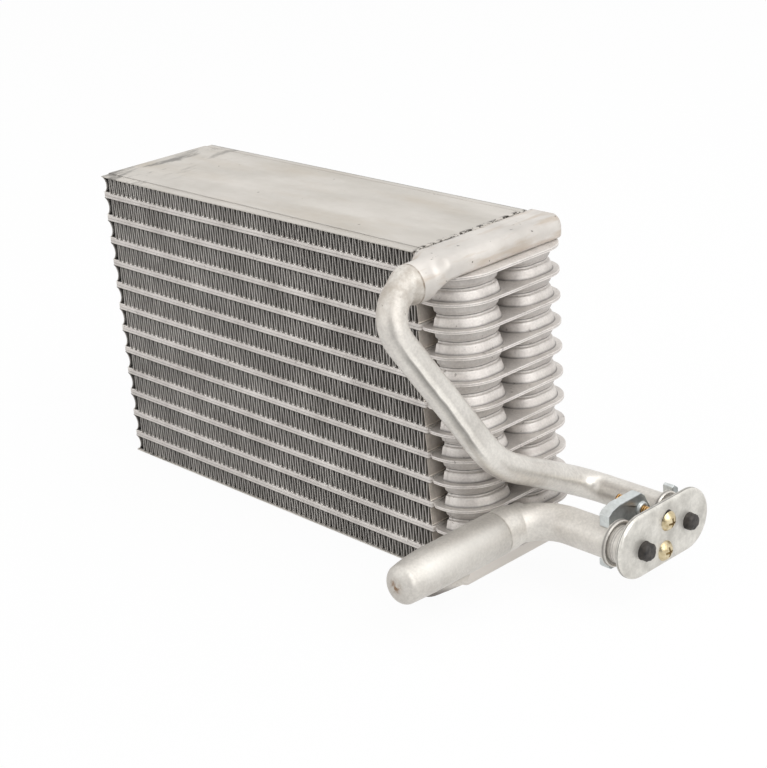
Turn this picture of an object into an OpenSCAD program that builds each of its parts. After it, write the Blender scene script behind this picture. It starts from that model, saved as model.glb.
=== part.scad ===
// Laminated evaporator core with its pipes, clamp plate and shipping cap.
// X runs along the tubes from the plain end to the cups, Y from the front fin face to the back,
// Z up. The origin is the centre of the underside of the bottom end plate.

/* [Core] */
// Distance from one flat tube to the next
tube_pitch = 11.5; // [11:0.25:13]
// Depth of the core from front face to back face
core_depth = 69; // [62:1:80]
// Length of the tubes that carries fins
fin_run = 215.5; // [180:0.5:260]
// Thickness of a flat tube, both plates together
tube_t = 2.7; // [2.4:0.1:3.2]
// Sheet thickness of a tube plate
sheet_t = 0.7; // [0.5:0.05:0.8]
// Width of the brazed rim round a tube plate
rim_w = 2; // [1.5:0.25:3]
// Width of the rib that parts the two passes inside a tube
rib_w = 4; // [3:0.5:8]
// Radius of the corners at the plain end of a tube
tube_corner_r = 2; // [1:0.5:3]
// Distance from one fin crest to the next
fin_pitch = 3.5; // [3:0.1:4.5]
// Thickness of the fin strip
fin_t = 0.2; // [0.15:0.05:0.3]
// Width of the flat on each fin crest
fin_crest = 1.2; // [0.8:0.1:1.3]
// Distance from the plain end of the tubes to the first full wave of the fins
fin_setback = 4.2; // [3.6:0.1:6]
// Distance from the plain end of the tubes to the tips of the bowed end legs of the fins
fin_tip = 0.3; // [0.2:0.1:0.6]
// Depth of the bow that the end leg of a fin is pressed into
fin_bow = 2.8; // [1:0.1:3]
// Thickness of an end plate
end_plate_t = 1; // [0.8:0.1:1.5]
// Height from the middle of an outer tube to the outside of its end plate
end_height = 10; // [9:0.25:12]
// Width of the lowered margin along the long edges of an end plate
margin_w = 4.5; // [3:0.5:7]
// How far the margin of an end plate is pressed down
margin_drop = 0.5; // [0.3:0.05:0.7]
// Width of the middle tab of an end plate that meets the header
tab_w = 27; // [18:1:34]
// How far that tab reaches back over the end plate
tab_len = 1.6; // [1:0.1:2.5]

/* [Cups] */
// Length of the brazed flange beyond the finned part
flange_len = 25; // [23.5:0.5:27]
// Radius of the front corner of the flange
flange_front_r = 19; // [14:0.5:20]
// Radius of the back corner of the flange
flange_back_r = 14.5; // [13:0.5:18]
// Width of the flange lip outside a cup
cup_lip = 3; // [2.5:0.25:4]
// Distance from the end of the fins to the cups
cup_setback = 4.5; // [3.5:0.25:6]
// How far a cup wall leans in over its height
cup_draft = 2; // [1:0.1:2.5]
// Gap between the front and the back cup at the flange
cup_gap = 5; // [3:0.25:6]
// Radius of the front cup's corner beside the gap
cup_corner_r = 9; // [6:0.25:10]
// Radius of the back cup's corner beside the gap
cup_mid_r = 12; // [6:0.25:13]
// Width of the ring that is left round a cup's port
port_ring = 2; // [1.5:0.25:3]
// Length of the straight sides of a cup's port
port_run = 6.2; // [4:0.2:7]
// Distance from the sides of a cup to the way that feeds it
way_margin = 6; // [5:0.5:8]

/* [Headers] */
// Gap between the end of the fins and a header
header_gap = 0.8; // [0.4:0.1:1.2]
// Width of the flattened header along the tubes
header_w = 19.4; // [18.6:0.1:20]
// Outer diameter of the round front end of the top header
header_round_d = 17.2; // [16.5:0.1:18]
// Distance from the inner side of the top header to the axis of its round end
header_round_set = 8.8; // [8.6:0.1:9.4]
// Outer diameter of the round front end of the bottom header
suction_round_d = 18; // [17.8:0.1:18.6]
// How far the round end of the bottom header lies out from that of the top header
suction_round_out = 3; // [0:0.25:3]
// How far the round end lies in from the flat outer face of the header
header_round_in = 0.6; // [0:0.1:1]
// Wall of a header
header_wall = 1.3; // [1:0.1:1.6]
// How far a header reaches past the back of the core
header_past = 1.5; // [0:0.25:2]
// Length of the round front end of the top header
header_round_len = 7; // [6:0.5:14]
// Length of the round front end of the bottom header
suction_round_len = 5; // [5:0.5:14]
// Length over which the header turns from flat to round
header_blend_len = 5; // [4:0.5:8]
// Radius of the outer long edge of the top header
header_edge_r = 4.5; // [3:0.25:5]
// Radius of the outer long edge of the bottom header
bottom_edge_r = 2.5; // [2:0.25:5]
// Radius of the long edge of a header next to the cup flange
header_low_r = 1.8; // [1.8:0.1:4]
// Radius of the closed back corner of a header
header_corner_r = 5; // [3:0.5:7]
// Depth that a pipe reaches into a header
pipe_insert = 5; // [3:0.5:6]

/* [Pipes] */
// Outer diameter of the liquid pipe
liquid_d = 12.7; // [11:0.1:13]
// Outer diameter of the suction pipe
suction_d = 15.9; // [14:0.1:16]
// Outer diameter of the suction manifold
manifold_d = 19.4; // [19:0.1:21]
// Wall of the pipes
pipe_wall = 1.2; // [1:0.1:1.5]
// How far the liquid pipe stands out before the front face
liquid_front = 35.8; // [33:0.2:40]
// Bend radius of the liquid pipe at the header
liquid_bend_r = 14.4; // [13:0.2:15]
// Clearance of the liquid pipe beside the cup flanges
liquid_clear = 2.1; // [1:0.1:4]
// Distance of the liquid pipe's low corner behind the front face
liquid_low_y = 7.3; // [5:0.1:10]
// Height of the liquid pipe's low corner above the base
liquid_low_z = 58.5; // [55:0.5:62]
// Bend radius of the liquid pipe at its low corner
liquid_low_bend_r = 33; // [24:1:36]
// Bend radius of the liquid pipe where it turns away beside the cups
liquid_side_bend_r = 12.5; // [12:0.5:14]
// Bend radius of the suction pipe
suction_bend_r = 20; // [18:0.5:20]
// Clear distance from the cup flanges to the suction pipe
suction_clear = 0.3; // [0.3:0.1:2]
// How far the manifold stands out before the front face
manifold_front = 54.5; // [50:0.5:60]
// How far the manifold reaches back beside the cups
manifold_back = 10; // [8:0.5:12]
// Depth that the suction pipe reaches into the manifold
manifold_socket = 8; // [6:0.5:9]
// How far the suction elbow stands out before its header
elbow_out = 10; // [10:0.5:20]
// Bend radius of the suction elbow
elbow_bend_r = 9; // [8.5:0.5:9]
// Outer diameter of a bead on the suction pipe
suction_bead_d = 20.2; // [18:0.2:22]
// Outer diameter of a bead on the liquid pipe
liquid_bead_d = 16.6; // [15:0.2:19]
// Thickness of a bead
bead_t = 2.4; // [2:0.1:3]

/* [Fitting] */
// Distance between the two ports
port_spacing = 31.5; // [30:0.5:33]
// Height of the rear port over the front port
port_step = 3; // [1:0.1:3]
// Distance of the suction port behind the front face
port_y = 29.5; // [29:0.5:31]
// Height of the suction port above the base
port_z = 27.6; // [26.5:0.1:31]
// Distance from the end of the fins to the face of the clamp plate
clamp_x = 76.8; // [75:0.2:80]
// Thickness of the clamp plate
clamp_t = 5.3; // [3.5:0.1:6]
// How far the clamp plate reaches below the suction port
clamp_low = 11.1; // [10.5:0.1:12]
// How far the clamp plate reaches above the suction port
clamp_high = 15.5; // [15:0.1:17]
// How far the clamp plate reaches past the middle of the liquid port
clamp_past = 10.3; // [9.5:0.1:12]
// Clearance of the clamp plate round a pipe
clamp_clear = 0.2; // [0.1:0.05:0.3]
// Distance from the bead faces to the back of the cap plate
cap_gap = 8.8; // [7:0.2:11]
// Thickness of the cap plate
cap_t = 2.6; // [2:0.1:3]
// Width of the cap plate
cap_w = 27.5; // [26:0.5:30]
// Distance between the centres of the cap plate's round ends
cap_spacing = 30.7; // [29:0.1:32]
// Distance from the suction port to the middle of the cap plate
cap_mid = 15; // [14:0.1:16]
// Distance from the suction port to the middle of the holes in the cap plate
hole_mid = 15.9; // [15:0.1:16.5]
// Distance between the two rubber nubs in the cap plate
nub_spacing = 29; // [28:0.5:30]
// Height of the middle of the cap plate over the suction port
cap_rise = 2.2; // [0:0.1:3]
// Radius rolled round the front edge of the cap plate
cap_edge_r = 1.4; // [0.8:0.1:1.8]
// Diameter of the rubber nub in front of the suction pipe
suction_nub_d = 8.2; // [7.4:0.2:9.4]
// Diameter of the rubber nub in front of the liquid pipe
liquid_nub_d = 7.2; // [6.6:0.2:8]
// Height of the rubber nubs in front of the cap
nub_out = 3; // [2:0.1:5]
// Distance between the two screws
screw_spacing = 12.6; // [12.4:0.2:14]
// Height of the middle of the two screws over the suction port
screw_rise = 0.8; // [0:0.1:2]
// How far the upper screw hole in the cap plate runs on above the screw
screw_slot = 2.1; // [0:0.1:2.6]
// How far the upper screw lies behind the lower one
screw_step = 2.2; // [0:0.1:2.4]
// Lean of the upper screw, its head down
screw_lean = 6; // [0:0.5:7]
// Thread diameter of the screws
screw_d = 4; // [3.5:0.1:4.2]
// Head diameter of the screws
screw_head_d = 8.8; // [7:0.2:9]
// Height of the screw head
screw_head_h = 2.7; // [2.4:0.1:3.4]
// How far the screws stand out behind the clamp plate
screw_out = 7; // [4:0.5:10]

/* [Hidden] */
tube_count = 12;
fin_rows = tube_count + 1;
facet = 32;

// Places along X, from the centre of the finned part
x_left = -fin_run / 2;
x_fin_end = fin_run / 2;
x_flange = x_fin_end + flange_len;
x_cup = x_fin_end + cup_setback;
x_cup_end = x_flange - cup_lip;
// Places along Y
y_front = -core_depth / 2;
y_back = core_depth / 2;
y_cup = y_front + cup_lip;
cup_depth = core_depth / 2 - cup_lip - cup_gap / 2;
// Places along Z
core_height = 2 * end_height + (tube_count - 1) * tube_pitch;
half_tube = tube_t / 2;
cup_h = tube_pitch / 2;
fin_h = tube_pitch - tube_t;
end_fin_h = end_height - half_tube - end_plate_t;
function tube_z(number) = core_height - end_height - (number - 1) * tube_pitch;

// Headers
header_h = end_height - sheet_t;
header_x = x_fin_end + header_gap;
header_round_x = header_x + header_round_set;
suction_round_x = header_round_x + suction_round_out;
header_back_y = y_back + header_past;
top_port_y = y_front - header_blend_len - header_round_len;
top_port_z = core_height - header_round_d / 2 - header_round_in;
bottom_port_y = y_front - header_blend_len - suction_round_len;
bottom_port_z = suction_round_d / 2;

// Fitting
x_clamp = x_fin_end + clamp_x;
x_bead = x_clamp + bead_t;
x_cap = x_bead + cap_gap;
suction_y = y_front + port_y;
liquid_y = suction_y + port_spacing;
liquid_z = port_z + port_step;
cap_y = suction_y + cap_mid - cap_spacing / 2;
cap_z = port_z + cap_rise;
hole_y = suction_y + hole_mid;
screw_z = port_z + screw_rise;

// Suction side
manifold_x = x_flange + suction_clear + suction_d / 2;
manifold_z = port_z;
manifold_front_y = y_front - manifold_front;
manifold_back_y = y_front + manifold_back;
elbow_y = bottom_port_y - elbow_out;

// Centre line of the liquid pipe from the header to its open end
liquid_low_x = x_flange + liquid_clear + liquid_d / 2;
liquid_points = [
  [header_round_x, top_port_y + pipe_insert, top_port_z],
  [header_round_x, y_front - liquid_front, top_port_z],
  [liquid_low_x, y_front + liquid_low_y, liquid_low_z],
  [liquid_low_x + 2, liquid_y, liquid_z],
  [x_cap - 1, liquid_y, liquid_z]];
liquid_radii = [liquid_bend_r, liquid_low_bend_r, liquid_side_bend_r];
// Centre line of the suction pipe from the manifold to its open end
suction_points = [
  [manifold_x, manifold_back_y - manifold_socket, manifold_z],
  [manifold_x, suction_y, manifold_z],
  [x_cap - 1, suction_y, port_z]];
// Centre line of the elbow from the bottom header up to the manifold
elbow_points = [
  [suction_round_x, bottom_port_y + pipe_insert, bottom_port_z],
  [suction_round_x, elbow_y, bottom_port_z],
  [manifold_x, elbow_y, manifold_z]];

// A point moved from one place towards another
function unit(v) = v / norm(v);
function toward(from, to, distance) = from + unit(to - from) * distance;
function turn(a, b, c) = acos(unit(b - a) * unit(c - b));
function tangent(a, b, c, r) = r * tan(turn(a, b, c) / 2);

// Lays a child that runs along +Z from one point towards another
module along(from, to) {
  d = to - from;
  translate(from)
    rotate([0, acos(d.z / norm(d)), atan2(d.y, d.x)])
      children();
}

// A straight length of round bar between two points
module bar(from, to, r) {
  along(from, to)
    cylinder(h = norm(to - from), r = r, $fn = facet);
}

// A bend of round bar at a corner b between a and c
module bend(a, b, c, bend_r, r) {
  t = tangent(a, b, c, bend_r);
  angle = turn(a, b, c);
  u = unit(b - a);
  w = unit(cross(u, unit(c - b)));
  v = cross(w, u);
  start = toward(b, a, t);
  // Columns: outward from the bend centre, then the running direction, then the axis
  multmatrix([
    [-v.x, u.x, w.x, start.x + v.x * bend_r],
    [-v.y, u.y, w.y, start.y + v.y * bend_r],
    [-v.z, u.z, w.z, start.z + v.z * bend_r],
    [0, 0, 0, 1]])
    rotate_extrude(angle = angle, $fn = 96)
      translate([bend_r, 0])
        circle(r = r, $fn = facet);
}

// A solid bar that follows a route with one bend at each inner point, longer at each end by over.
// The bends are thicker than the straight lengths by swell and take them in, so the two join cleanly.
module route_bar(points, radii, r, over, swell) {
  last = len(points) - 1;
  for (i = [0 : last - 1]) {
    from_cut = i == 0 ? -over : tangent(points[i - 1], points[i], points[i + 1], radii[i - 1]) - 0.3;
    to_cut = i == last - 1 ? -over : tangent(points[i], points[i + 1], points[i + 2], radii[i]) - 0.3;
    bar(toward(points[i], points[i + 1], from_cut), toward(points[i + 1], points[i], to_cut), r);
  }
  for (i = [1 : last - 1])
    bend(points[i - 1], points[i], points[i + 1], radii[i - 1], r + swell);
}

// A pipe along a route
module route_pipe(points, radii, d) {
  difference() {
    route_bar(points, radii, d / 2, 0, 0.02);
    route_bar(points, radii, d / 2 - pipe_wall, 1, -0.02);
  }
}

// One quarter of a drafted corner, centred on its own axis, from angle first to first + 90
module corner_cone(place, r, h, draft, first) {
  translate([place.x, place.y, 0])
    rotate([0, 0, first])
      rotate_extrude(angle = 90, $fn = 64)
        polygon([[0, 0], [r, 0], [r - draft, h], [0, h]]);
}

// A drafted block with its low faces on x = a and on x = b, running along Y
module draft_x(a, b, y1, y2, h, draft_a, draft_b) {
  translate([0, y2, 0])
    rotate([90, 0, 0])
      linear_extrude(y2 - y1)
        polygon([[a, 0], [b, 0], [b - draft_b, h], [a + draft_a, h]]);
}

// A drafted block with its low faces on y = a and on y = b, running along X
module draft_y(a, b, x1, x2, h, draft_a, draft_b) {
  translate([x1, 0, 0])
    rotate([90, 0, 90])
      linear_extrude(x2 - x1)
        polygon([[a, 0], [b, 0], [b - draft_b, h], [a + draft_a, h]]);
}

// A drawn cup as a drafted solid: corner radius big_r at (x2, y1) and small_r at (x2, y2).
// The corners are fuller than the walls by swell and take in their ends, so they join cleanly.
module cup_body(x1, x2, y1, y2, big_r, small_r, h, draft) {
  swell = 0.02;
  lap = 0.3;
  cx = x2 - big_r;
  cy = y1 + big_r;
  sx = x2 - small_r;
  sy = y2 - small_r;
  intersection() {
    union() {
      corner_cone([cx, cy], big_r + swell, h, draft, 270);
      corner_cone([sx, sy], small_r + swell, h, draft, 0);
      draft_y(y1, cy + 1, x1 - 1, cx + lap, h, draft, 0);
      draft_y(cy - lap, y2, x1 - 1, sx + lap, h, 0, draft);
      draft_x(sx - 1, x2, cy - lap, sy + lap, h, 0, draft);
    }
    // The wall on the side of the fins leans too
    draft_x(x1, x2 + 1, y1 - 1, y2 + 1, h, draft, 0);
  }
}

// Both cups of a plate, made smaller all round by inset for the inside of the sheet
module cup_pair(inset, h, draft) {
  x1 = x_cup + inset;
  x2 = x_cup_end - inset;
  y1 = y_cup + inset;
  y2 = y_cup + cup_depth - inset;
  cup_body(x1, x2, y1, y2, flange_front_r - cup_lip - inset, cup_corner_r - inset, h, draft);
  mirror([0, 1, 0])
    cup_body(x1, x2, y1, y2, flange_back_r - cup_lip - inset, cup_mid_r - inset, h, draft);
}

// The oblong port through the top of each cup
module ports() {
  port_r = (x_cup_end - x_cup) / 2 - cup_draft - port_ring;
  y1 = y_cup + cup_depth / 2 - port_run / 2;
  y2 = y1 + port_run;
  for (side = [0, 1])
    mirror([0, side, 0])
      translate([(x_cup_end + x_cup) / 2, 0, -1]) {
        translate([-port_r, y1, 0])
          cube([2 * port_r, y2 - y1, cup_h + 2]);
        for (y = [y1, y2])
          translate([0, y, 0])
            cylinder(h = cup_h + 2, r = port_r, $fn = facet);
      }
}

// Outline of the brazed flange, seen from above
module flange_outline() {
  difference() {
    translate([x_fin_end - rim_w, y_front])
      square([flange_len + rim_w, core_depth]);
    translate([x_flange - flange_front_r, y_front])
      square([flange_front_r, flange_front_r]);
    translate([x_flange - flange_back_r, y_back - flange_back_r])
      square([flange_back_r, flange_back_r]);
  }
  translate([x_flange - flange_front_r, y_front + flange_front_r])
    circle(r = flange_front_r, $fn = 96);
  translate([x_flange - flange_back_r, y_back - flange_back_r])
    circle(r = flange_back_r, $fn = 96);
}

// Outline of the finned part of a tube, rounded at the plain end
module tube_outline(inset) {
  r = tube_corner_r;
  translate([x_left + r, y_front + inset])
    square([fin_run - r - inset, core_depth - 2 * inset]);
  translate([x_left + inset, y_front + r])
    square([r, core_depth - 2 * r]);
  for (y = [y_front + r, y_back - r])
    translate([x_left + r, y])
      circle(r = r - inset, $fn = facet);
}

// Inside of the flat channel, two passes parted by the middle rib
module passes(h) {
  for (side = [-1, 1])
    translate([0, side * (core_depth / 2 - rim_w + rib_w / 2) / 2, 0])
      translate([x_left + rim_w, -(core_depth / 2 - rim_w - rib_w / 2) / 2, -1])
        cube([fin_run - 2 * rim_w, core_depth / 2 - rim_w - rib_w / 2, h + 1]);
  // The passes join round the plain end of the rib
  translate([x_left + rim_w, -rib_w, -1])
    cube([4 * rib_w, 2 * rib_w, h + 1]);
}

// The raised way from the flat channel into each cup
module ways(inset, h, low) {
  way = cup_depth - 2 * way_margin;
  for (side = [-1, 1])
    translate([x_fin_end - 2 * rim_w, side * (cup_gap / 2 + cup_depth / 2) - way / 2 + inset, low])
      cube([2 * rim_w + cup_setback + cup_draft + 2, way - 2 * inset, h - low]);
}

// One stamped plate, its seam at z = 0 and its cups standing up
module tube_plate(cups) {
  channel_h = half_tube - sheet_t;
  color("gainsboro")
  difference() {
    union() {
      linear_extrude(half_tube)
        tube_outline(0);
      linear_extrude(sheet_t)
        flange_outline();
      if (cups) {
        ways(0, half_tube, 0);
        cup_pair(0, cup_h, cup_draft);
      }
    }
    passes(channel_h);
    ways(sheet_t, cups ? channel_h : sheet_t / 2, -1);
    if (cups) {
      translate([0, 0, -0.01])
        cup_pair(sheet_t, cup_h - sheet_t, cup_draft * (cup_h - sheet_t) / cup_h);
    }
    ports();
  }
}

// The tube plates, each moved to its own tube
module tube_upper(number) {
  translate([0, 0, tube_z(number)])
    tube_plate(number > 1);
}
module tube_lower(number) {
  translate([0, 0, tube_z(number)])
    mirror([0, 0, 1])
      tube_plate(number < tube_count);
}

// Profile of a corrugated strip of height h, seen along Y
module fin_profile(h) {
  run = fin_run - fin_setback;
  waves = floor(run / fin_pitch);
  pitch = run / waves;
  leg = pitch / 2 - fin_crest;
  // The strip is thicker across than along its leaning legs
  side = fin_t * sqrt(1 + pow(leg / (h - fin_t), 2));
  x0 = x_left + fin_setback;
  top = [for (i = [0 : waves - 1]) each [
    [x0 + i * pitch, fin_t],
    [x0 + i * pitch + fin_crest - side / 2, fin_t],
    [x0 + i * pitch + fin_crest + leg - side / 2, h],
    [x0 + (i + 1) * pitch - leg + side / 2, h]]];
  low = [for (i = [waves - 1 : -1 : 0]) each [
    [x0 + (i + 1) * pitch, 0],
    [x0 + (i + 1) * pitch - leg - side / 2, h - fin_t],
    [x0 + i * pitch + fin_crest + leg + side / 2, h - fin_t],
    [x0 + i * pitch + fin_crest + side / 2, 0],
    [x0 + i * pitch, 0]]];
  polygon(concat(top, [[x0 + waves * pitch, fin_t]], low));
}

// The end leg of the strip, bowed in between the tips of two tubes
module fin_end(h) {
  x_tip = x_left + fin_tip;
  bow_r = (h * h / 4 + fin_bow * fin_bow) / (2 * fin_bow);
  intersection() {
    translate([x_tip + fin_bow - bow_r, h / 2])
      difference() {
        circle(r = bow_r + fin_t, $fn = 64);
        circle(r = bow_r, $fn = 64);
      }
    translate([x_tip, 0])
      square([fin_bow + 1, h]);
  }
  translate([x_tip, 0])
    square([fin_setback - fin_tip + 0.1, fin_t]);
}

// A corrugated fin of height h, standing on z
module fin_at(z, h) {
  color("darkgray")
    translate([0, y_back - 0.5, z])
      rotate([90, 0, 0])
        union() {
          linear_extrude(core_depth - 1)
            fin_profile(h);
          linear_extrude(core_depth - 1)
            fin_end(h);
        }
}
module fin(row) {
  if (row == 1)
    fin_at(tube_z(1) + half_tube, end_fin_h);
  else if (row == fin_rows)
    fin_at(end_plate_t, end_fin_h);
  else
    fin_at(tube_z(row) + half_tube, fin_h);
}

// An end plate lying on z = 0 with its outer face up
module end_plate() {
  color("gainsboro")
    translate([x_left, 0, -end_plate_t]) {
      // The middle of the plate, between the lowered margins
      translate([0, y_front + margin_w, 0])
        cube([fin_run, core_depth - 2 * margin_w, end_plate_t]);
      for (side = [-1, 1])
        translate([0, side * (core_depth / 2 - margin_w / 2 - 0.1) - margin_w / 2 - 0.1, 0])
          cube([fin_run, margin_w + 0.2, end_plate_t - margin_drop]);
      // The tab that reaches to the header
      translate([fin_run - tab_len, -tab_w / 2, 0])
        cube([tab_len + header_x - x_fin_end, tab_w, end_plate_t]);
    }
}
module top_end_plate() {
  translate([0, 0, core_height])
    end_plate();
}
module bottom_end_plate() {
  mirror([0, 0, 1])
    end_plate();
}

// Section of the flattened header, its outer face up, smaller all round by inset
module header_section(inset, edge_r) {
  w = header_w - 2 * inset;
  h = header_h - 2 * inset;
  edge = edge_r - inset;
  low = header_low_r - inset;
  soft = 0.8;
  difference() {
    square([w, h]);
    translate([w - edge, h - edge])
      square([edge, edge]);
    translate([w - low, 0])
      square([low, low]);
    square([soft, soft]);
    translate([0, h - soft])
      square([soft, soft]);
  }
  translate([w - edge, h - edge])
    circle(r = edge, $fn = 64);
  translate([w - low, low])
    circle(r = low, $fn = 64);
  for (z = [soft, h - soft])
    translate([soft, z])
      circle(r = soft, $fn = facet);
}

// The flattened length of a header, smaller all round by inset, with its back corner rounded
module header_flat(inset, edge_r) {
  length = header_back_y - y_front - inset;
  corner_r = header_corner_r - inset;
  w = header_w - 2 * inset;
  intersection() {
    translate([header_x + inset, y_front + length, core_height - header_h + inset])
      rotate([90, 0, 0])
        linear_extrude(length)
          header_section(inset, edge_r);
    translate([header_x + inset, y_front, core_height - header_h - 1])
      linear_extrude(header_h + 2) {
        square([w, length - corner_r]);
        square([w - corner_r, length]);
        translate([w - corner_r, length - corner_r])
          circle(r = corner_r, $fn = 64);
      }
  }
}

// The turn from the flat section to the round end, smaller all round by inset
module header_blend(inset, edge_r, round_d, round_x, round_z) {
  hull() {
    translate([header_x + inset, y_front + 0.1, core_height - header_h + inset])
      rotate([90, 0, 0])
        linear_extrude(0.1)
          header_section(inset, edge_r);
    translate([round_x, y_front - header_blend_len, round_z])
      rotate([90, 0, 0])
        cylinder(h = 0.1, d = round_d - 2 * inset, $fn = facet);
  }
}

// A header for the top: a hollow tube with a round front end, bored for its pipe
module header_body(edge_r, round_d, round_len, round_x, round_z, pipe_d) {
  front = y_front - header_blend_len - round_len;
  color("gainsboro")
  difference() {
    union() {
      header_flat(0, edge_r);
      header_blend(0, edge_r, round_d, round_x, round_z);
      translate([round_x, y_front - header_blend_len, round_z])
        rotate([90, 0, 0])
          cylinder(h = round_len, d = round_d, $fn = facet);
    }
    header_flat(header_wall, edge_r);
    header_blend(header_wall, edge_r, round_d, round_x, round_z);
    // The bore that takes the pipe
    translate([round_x, front + pipe_insert, round_z])
      rotate([90, 0, 0])
        cylinder(h = pipe_insert + 1, d = pipe_d, $fn = facet);
    // The way on past the end of the pipe
    translate([round_x, y_front - header_blend_len + 0.5, round_z])
      rotate([90, 0, 0])
        cylinder(h = round_len, d = pipe_d - 2 * pipe_wall, $fn = facet);
    // The ports over the cups
    intersection() {
      translate([0, 0, core_height - header_h - 1])
        ports();
      translate([header_x + header_wall + 0.5, y_front, core_height - header_h - 1])
        cube([header_w - 2 * header_wall - 1, core_depth, header_wall + 2]);
    }
  }
}
module top_header() {
  header_body(header_edge_r, header_round_d, header_round_len, header_round_x, top_port_z, liquid_d);
}
module bottom_header() {
  translate([0, 0, core_height])
    mirror([0, 0, 1])
      header_body(bottom_edge_r, suction_round_d, suction_round_len, suction_round_x,
        core_height - bottom_port_z, suction_d);
}

// A bead upset on a pipe end, with a dished front face
module bead(place, pipe_d, bead_d) {
  inner = pipe_d / 2 - pipe_wall / 2;
  translate([x_clamp, place.x, place.y])
    rotate([0, 90, 0])
      rotate_extrude($fn = 64)
        polygon([
          [inner, 0],
          [bead_d / 2 - 0.6, 0],
          [bead_d / 2, 0.6],
          [bead_d / 2, bead_t - 0.6],
          [bead_d / 2 - 0.6, bead_t],
          [pipe_d / 2 + 0.7, bead_t - 0.6],
          [inner, bead_t - 0.6]]);
}

// The liquid pipe with the bead at its open end
module liquid_pipe() {
  color("gainsboro")
  union() {
    route_pipe(liquid_points, liquid_radii, liquid_d);
    bead([liquid_y, liquid_z], liquid_d, liquid_bead_d);
  }
}

// The suction pipe with the bead at its open end
module suction_pipe() {
  color("gainsboro")
  union() {
    route_pipe(suction_points, [suction_bend_r], suction_d);
    bead([suction_y, port_z], suction_d, suction_bead_d);
  }
}

// The elbow from the bottom header up into the manifold
module suction_elbow() {
  color("gainsboro")
  difference() {
    route_pipe(elbow_points, [elbow_bend_r], suction_d);
    translate([manifold_x, y_front, manifold_z])
      rotate([90, 0, 0])
        cylinder(h = manifold_front + 10, d = manifold_d - 2 * pipe_wall, $fn = facet);
  }
}

// The manifold: a tube with a spun closed front end, pierced by the elbow
module suction_manifold() {
  r = manifold_d / 2;
  dome = 7;
  length = manifold_front + manifold_back;
  inner = r - pipe_wall;
  color("gainsboro")
  difference() {
    union() {
      translate([manifold_x, manifold_back_y, manifold_z])
        rotate([90, 0, 0])
          rotate_extrude($fn = 64) {
            square([r, length - dome]);
            translate([0, length - dome])
              square([r - dome, dome]);
            intersection() {
              translate([r - dome, length - dome])
                circle(r = dome, $fn = 64);
              translate([0, length - dome])
                square([r, dome]);
            }
          }
      // The nib that is left where the spun end closes
      translate([manifold_x, manifold_front_y + 0.1, manifold_z])
        rotate([90, 0, 0])
          cylinder(h = 0.7, d = 2.4, $fn = facet);
    }
    // The socket of the suction pipe, then the bore
    translate([manifold_x, manifold_back_y + 1, manifold_z])
      rotate([90, 0, 0])
        cylinder(h = manifold_socket + 1, d = suction_d, $fn = facet);
    translate([manifold_x, manifold_back_y - manifold_socket + 1, manifold_z])
      rotate([90, 0, 0])
        cylinder(h = length - manifold_socket + 1 - dome, r = inner, $fn = facet);
    // The hole that takes the elbow
    bar(elbow_points[1], elbow_points[2], suction_d / 2);
  }
}

// Outline of the clamp plate in the YZ plane: one slot opens to the front, one upwards
module clamp_outline() {
  suction_slot = suction_d / 2 + clamp_clear;
  liquid_slot = liquid_d / 2 + clamp_clear;
  difference() {
    polygon([
      [suction_y - 4.3, port_z - 6.9],
      [suction_y - 4.3, port_z - clamp_low + 1.1],
      [suction_y - 3.3, port_z - clamp_low],
      [liquid_y + 4, port_z - clamp_low],
      [liquid_y + clamp_past, port_z - 4],
      [liquid_y + clamp_past, port_z + 9],
      [liquid_y + clamp_past - 2.3, port_z + 10.8],
      [liquid_y + liquid_slot, port_z + 10.2],
      [liquid_y, port_z],
      [liquid_y - liquid_slot, port_z + 3],
      [liquid_y - 8.8, port_z + 8],
      [liquid_y - 12, port_z + 13.8],
      [liquid_y - 14, port_z + clamp_high],
      [suction_y + 3, port_z + clamp_high],
      [suction_y - 1.6, port_z + 14.3],
      [suction_y - 3.5, port_z + 12.7],
      [suction_y - 3.5, port_z + 7]]);
    translate([suction_y, port_z])
      circle(r = suction_slot, $fn = 64);
    translate([liquid_y, liquid_z])
      circle(r = liquid_slot, $fn = 64);
    translate([liquid_y - liquid_slot, liquid_z])
      square([2 * liquid_slot, 20]);
  }
}

// Places a child along each screw, z = 0 under its head and the head on the +Z side
module on_screws() {
  translate([x_cap + cap_t, hole_y - screw_step / 2, screw_z - screw_spacing / 2])
    rotate([0, 90, 0])
      children();
  translate([x_cap + cap_t, hole_y + screw_step / 2, screw_z + screw_spacing / 2])
    rotate([0, 90 + screw_lean, 0])
      children();
}
module clamp_plate() {
  color("lightsteelblue")
  difference() {
    union() {
      translate([x_clamp - clamp_t, 0, 0])
        rotate([90, 0, 90])
          linear_extrude(clamp_t)
            clamp_outline();
      // The collars that are drawn up round the threads
      intersection() {
        on_screws()
          translate([0, 0, -cap_t - cap_gap - bead_t - 1])
            cylinder(h = 2.2, d = screw_d + 2.4, $fn = facet);
        translate([x_clamp - 0.5, y_front, 0])
          cube([5, core_depth, core_height]);
      }
    }
    on_screws()
      translate([0, 0, -60])
        cylinder(h = 60, d = screw_d, $fn = facet);
  }
}

// Half of the cap plate's section, its front edge rolled in four steps
function cap_half() = concat(
  [[0, 0], [cap_w / 2 - 0.3, 0], [cap_w / 2, 0.3]],
  [for (i = [0 : 4])
    [cap_w / 2 - cap_edge_r * (1 - cos(i * 22.5)), cap_t - cap_edge_r * (1 - sin(i * 22.5))]],
  [[0, cap_t]]);

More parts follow.
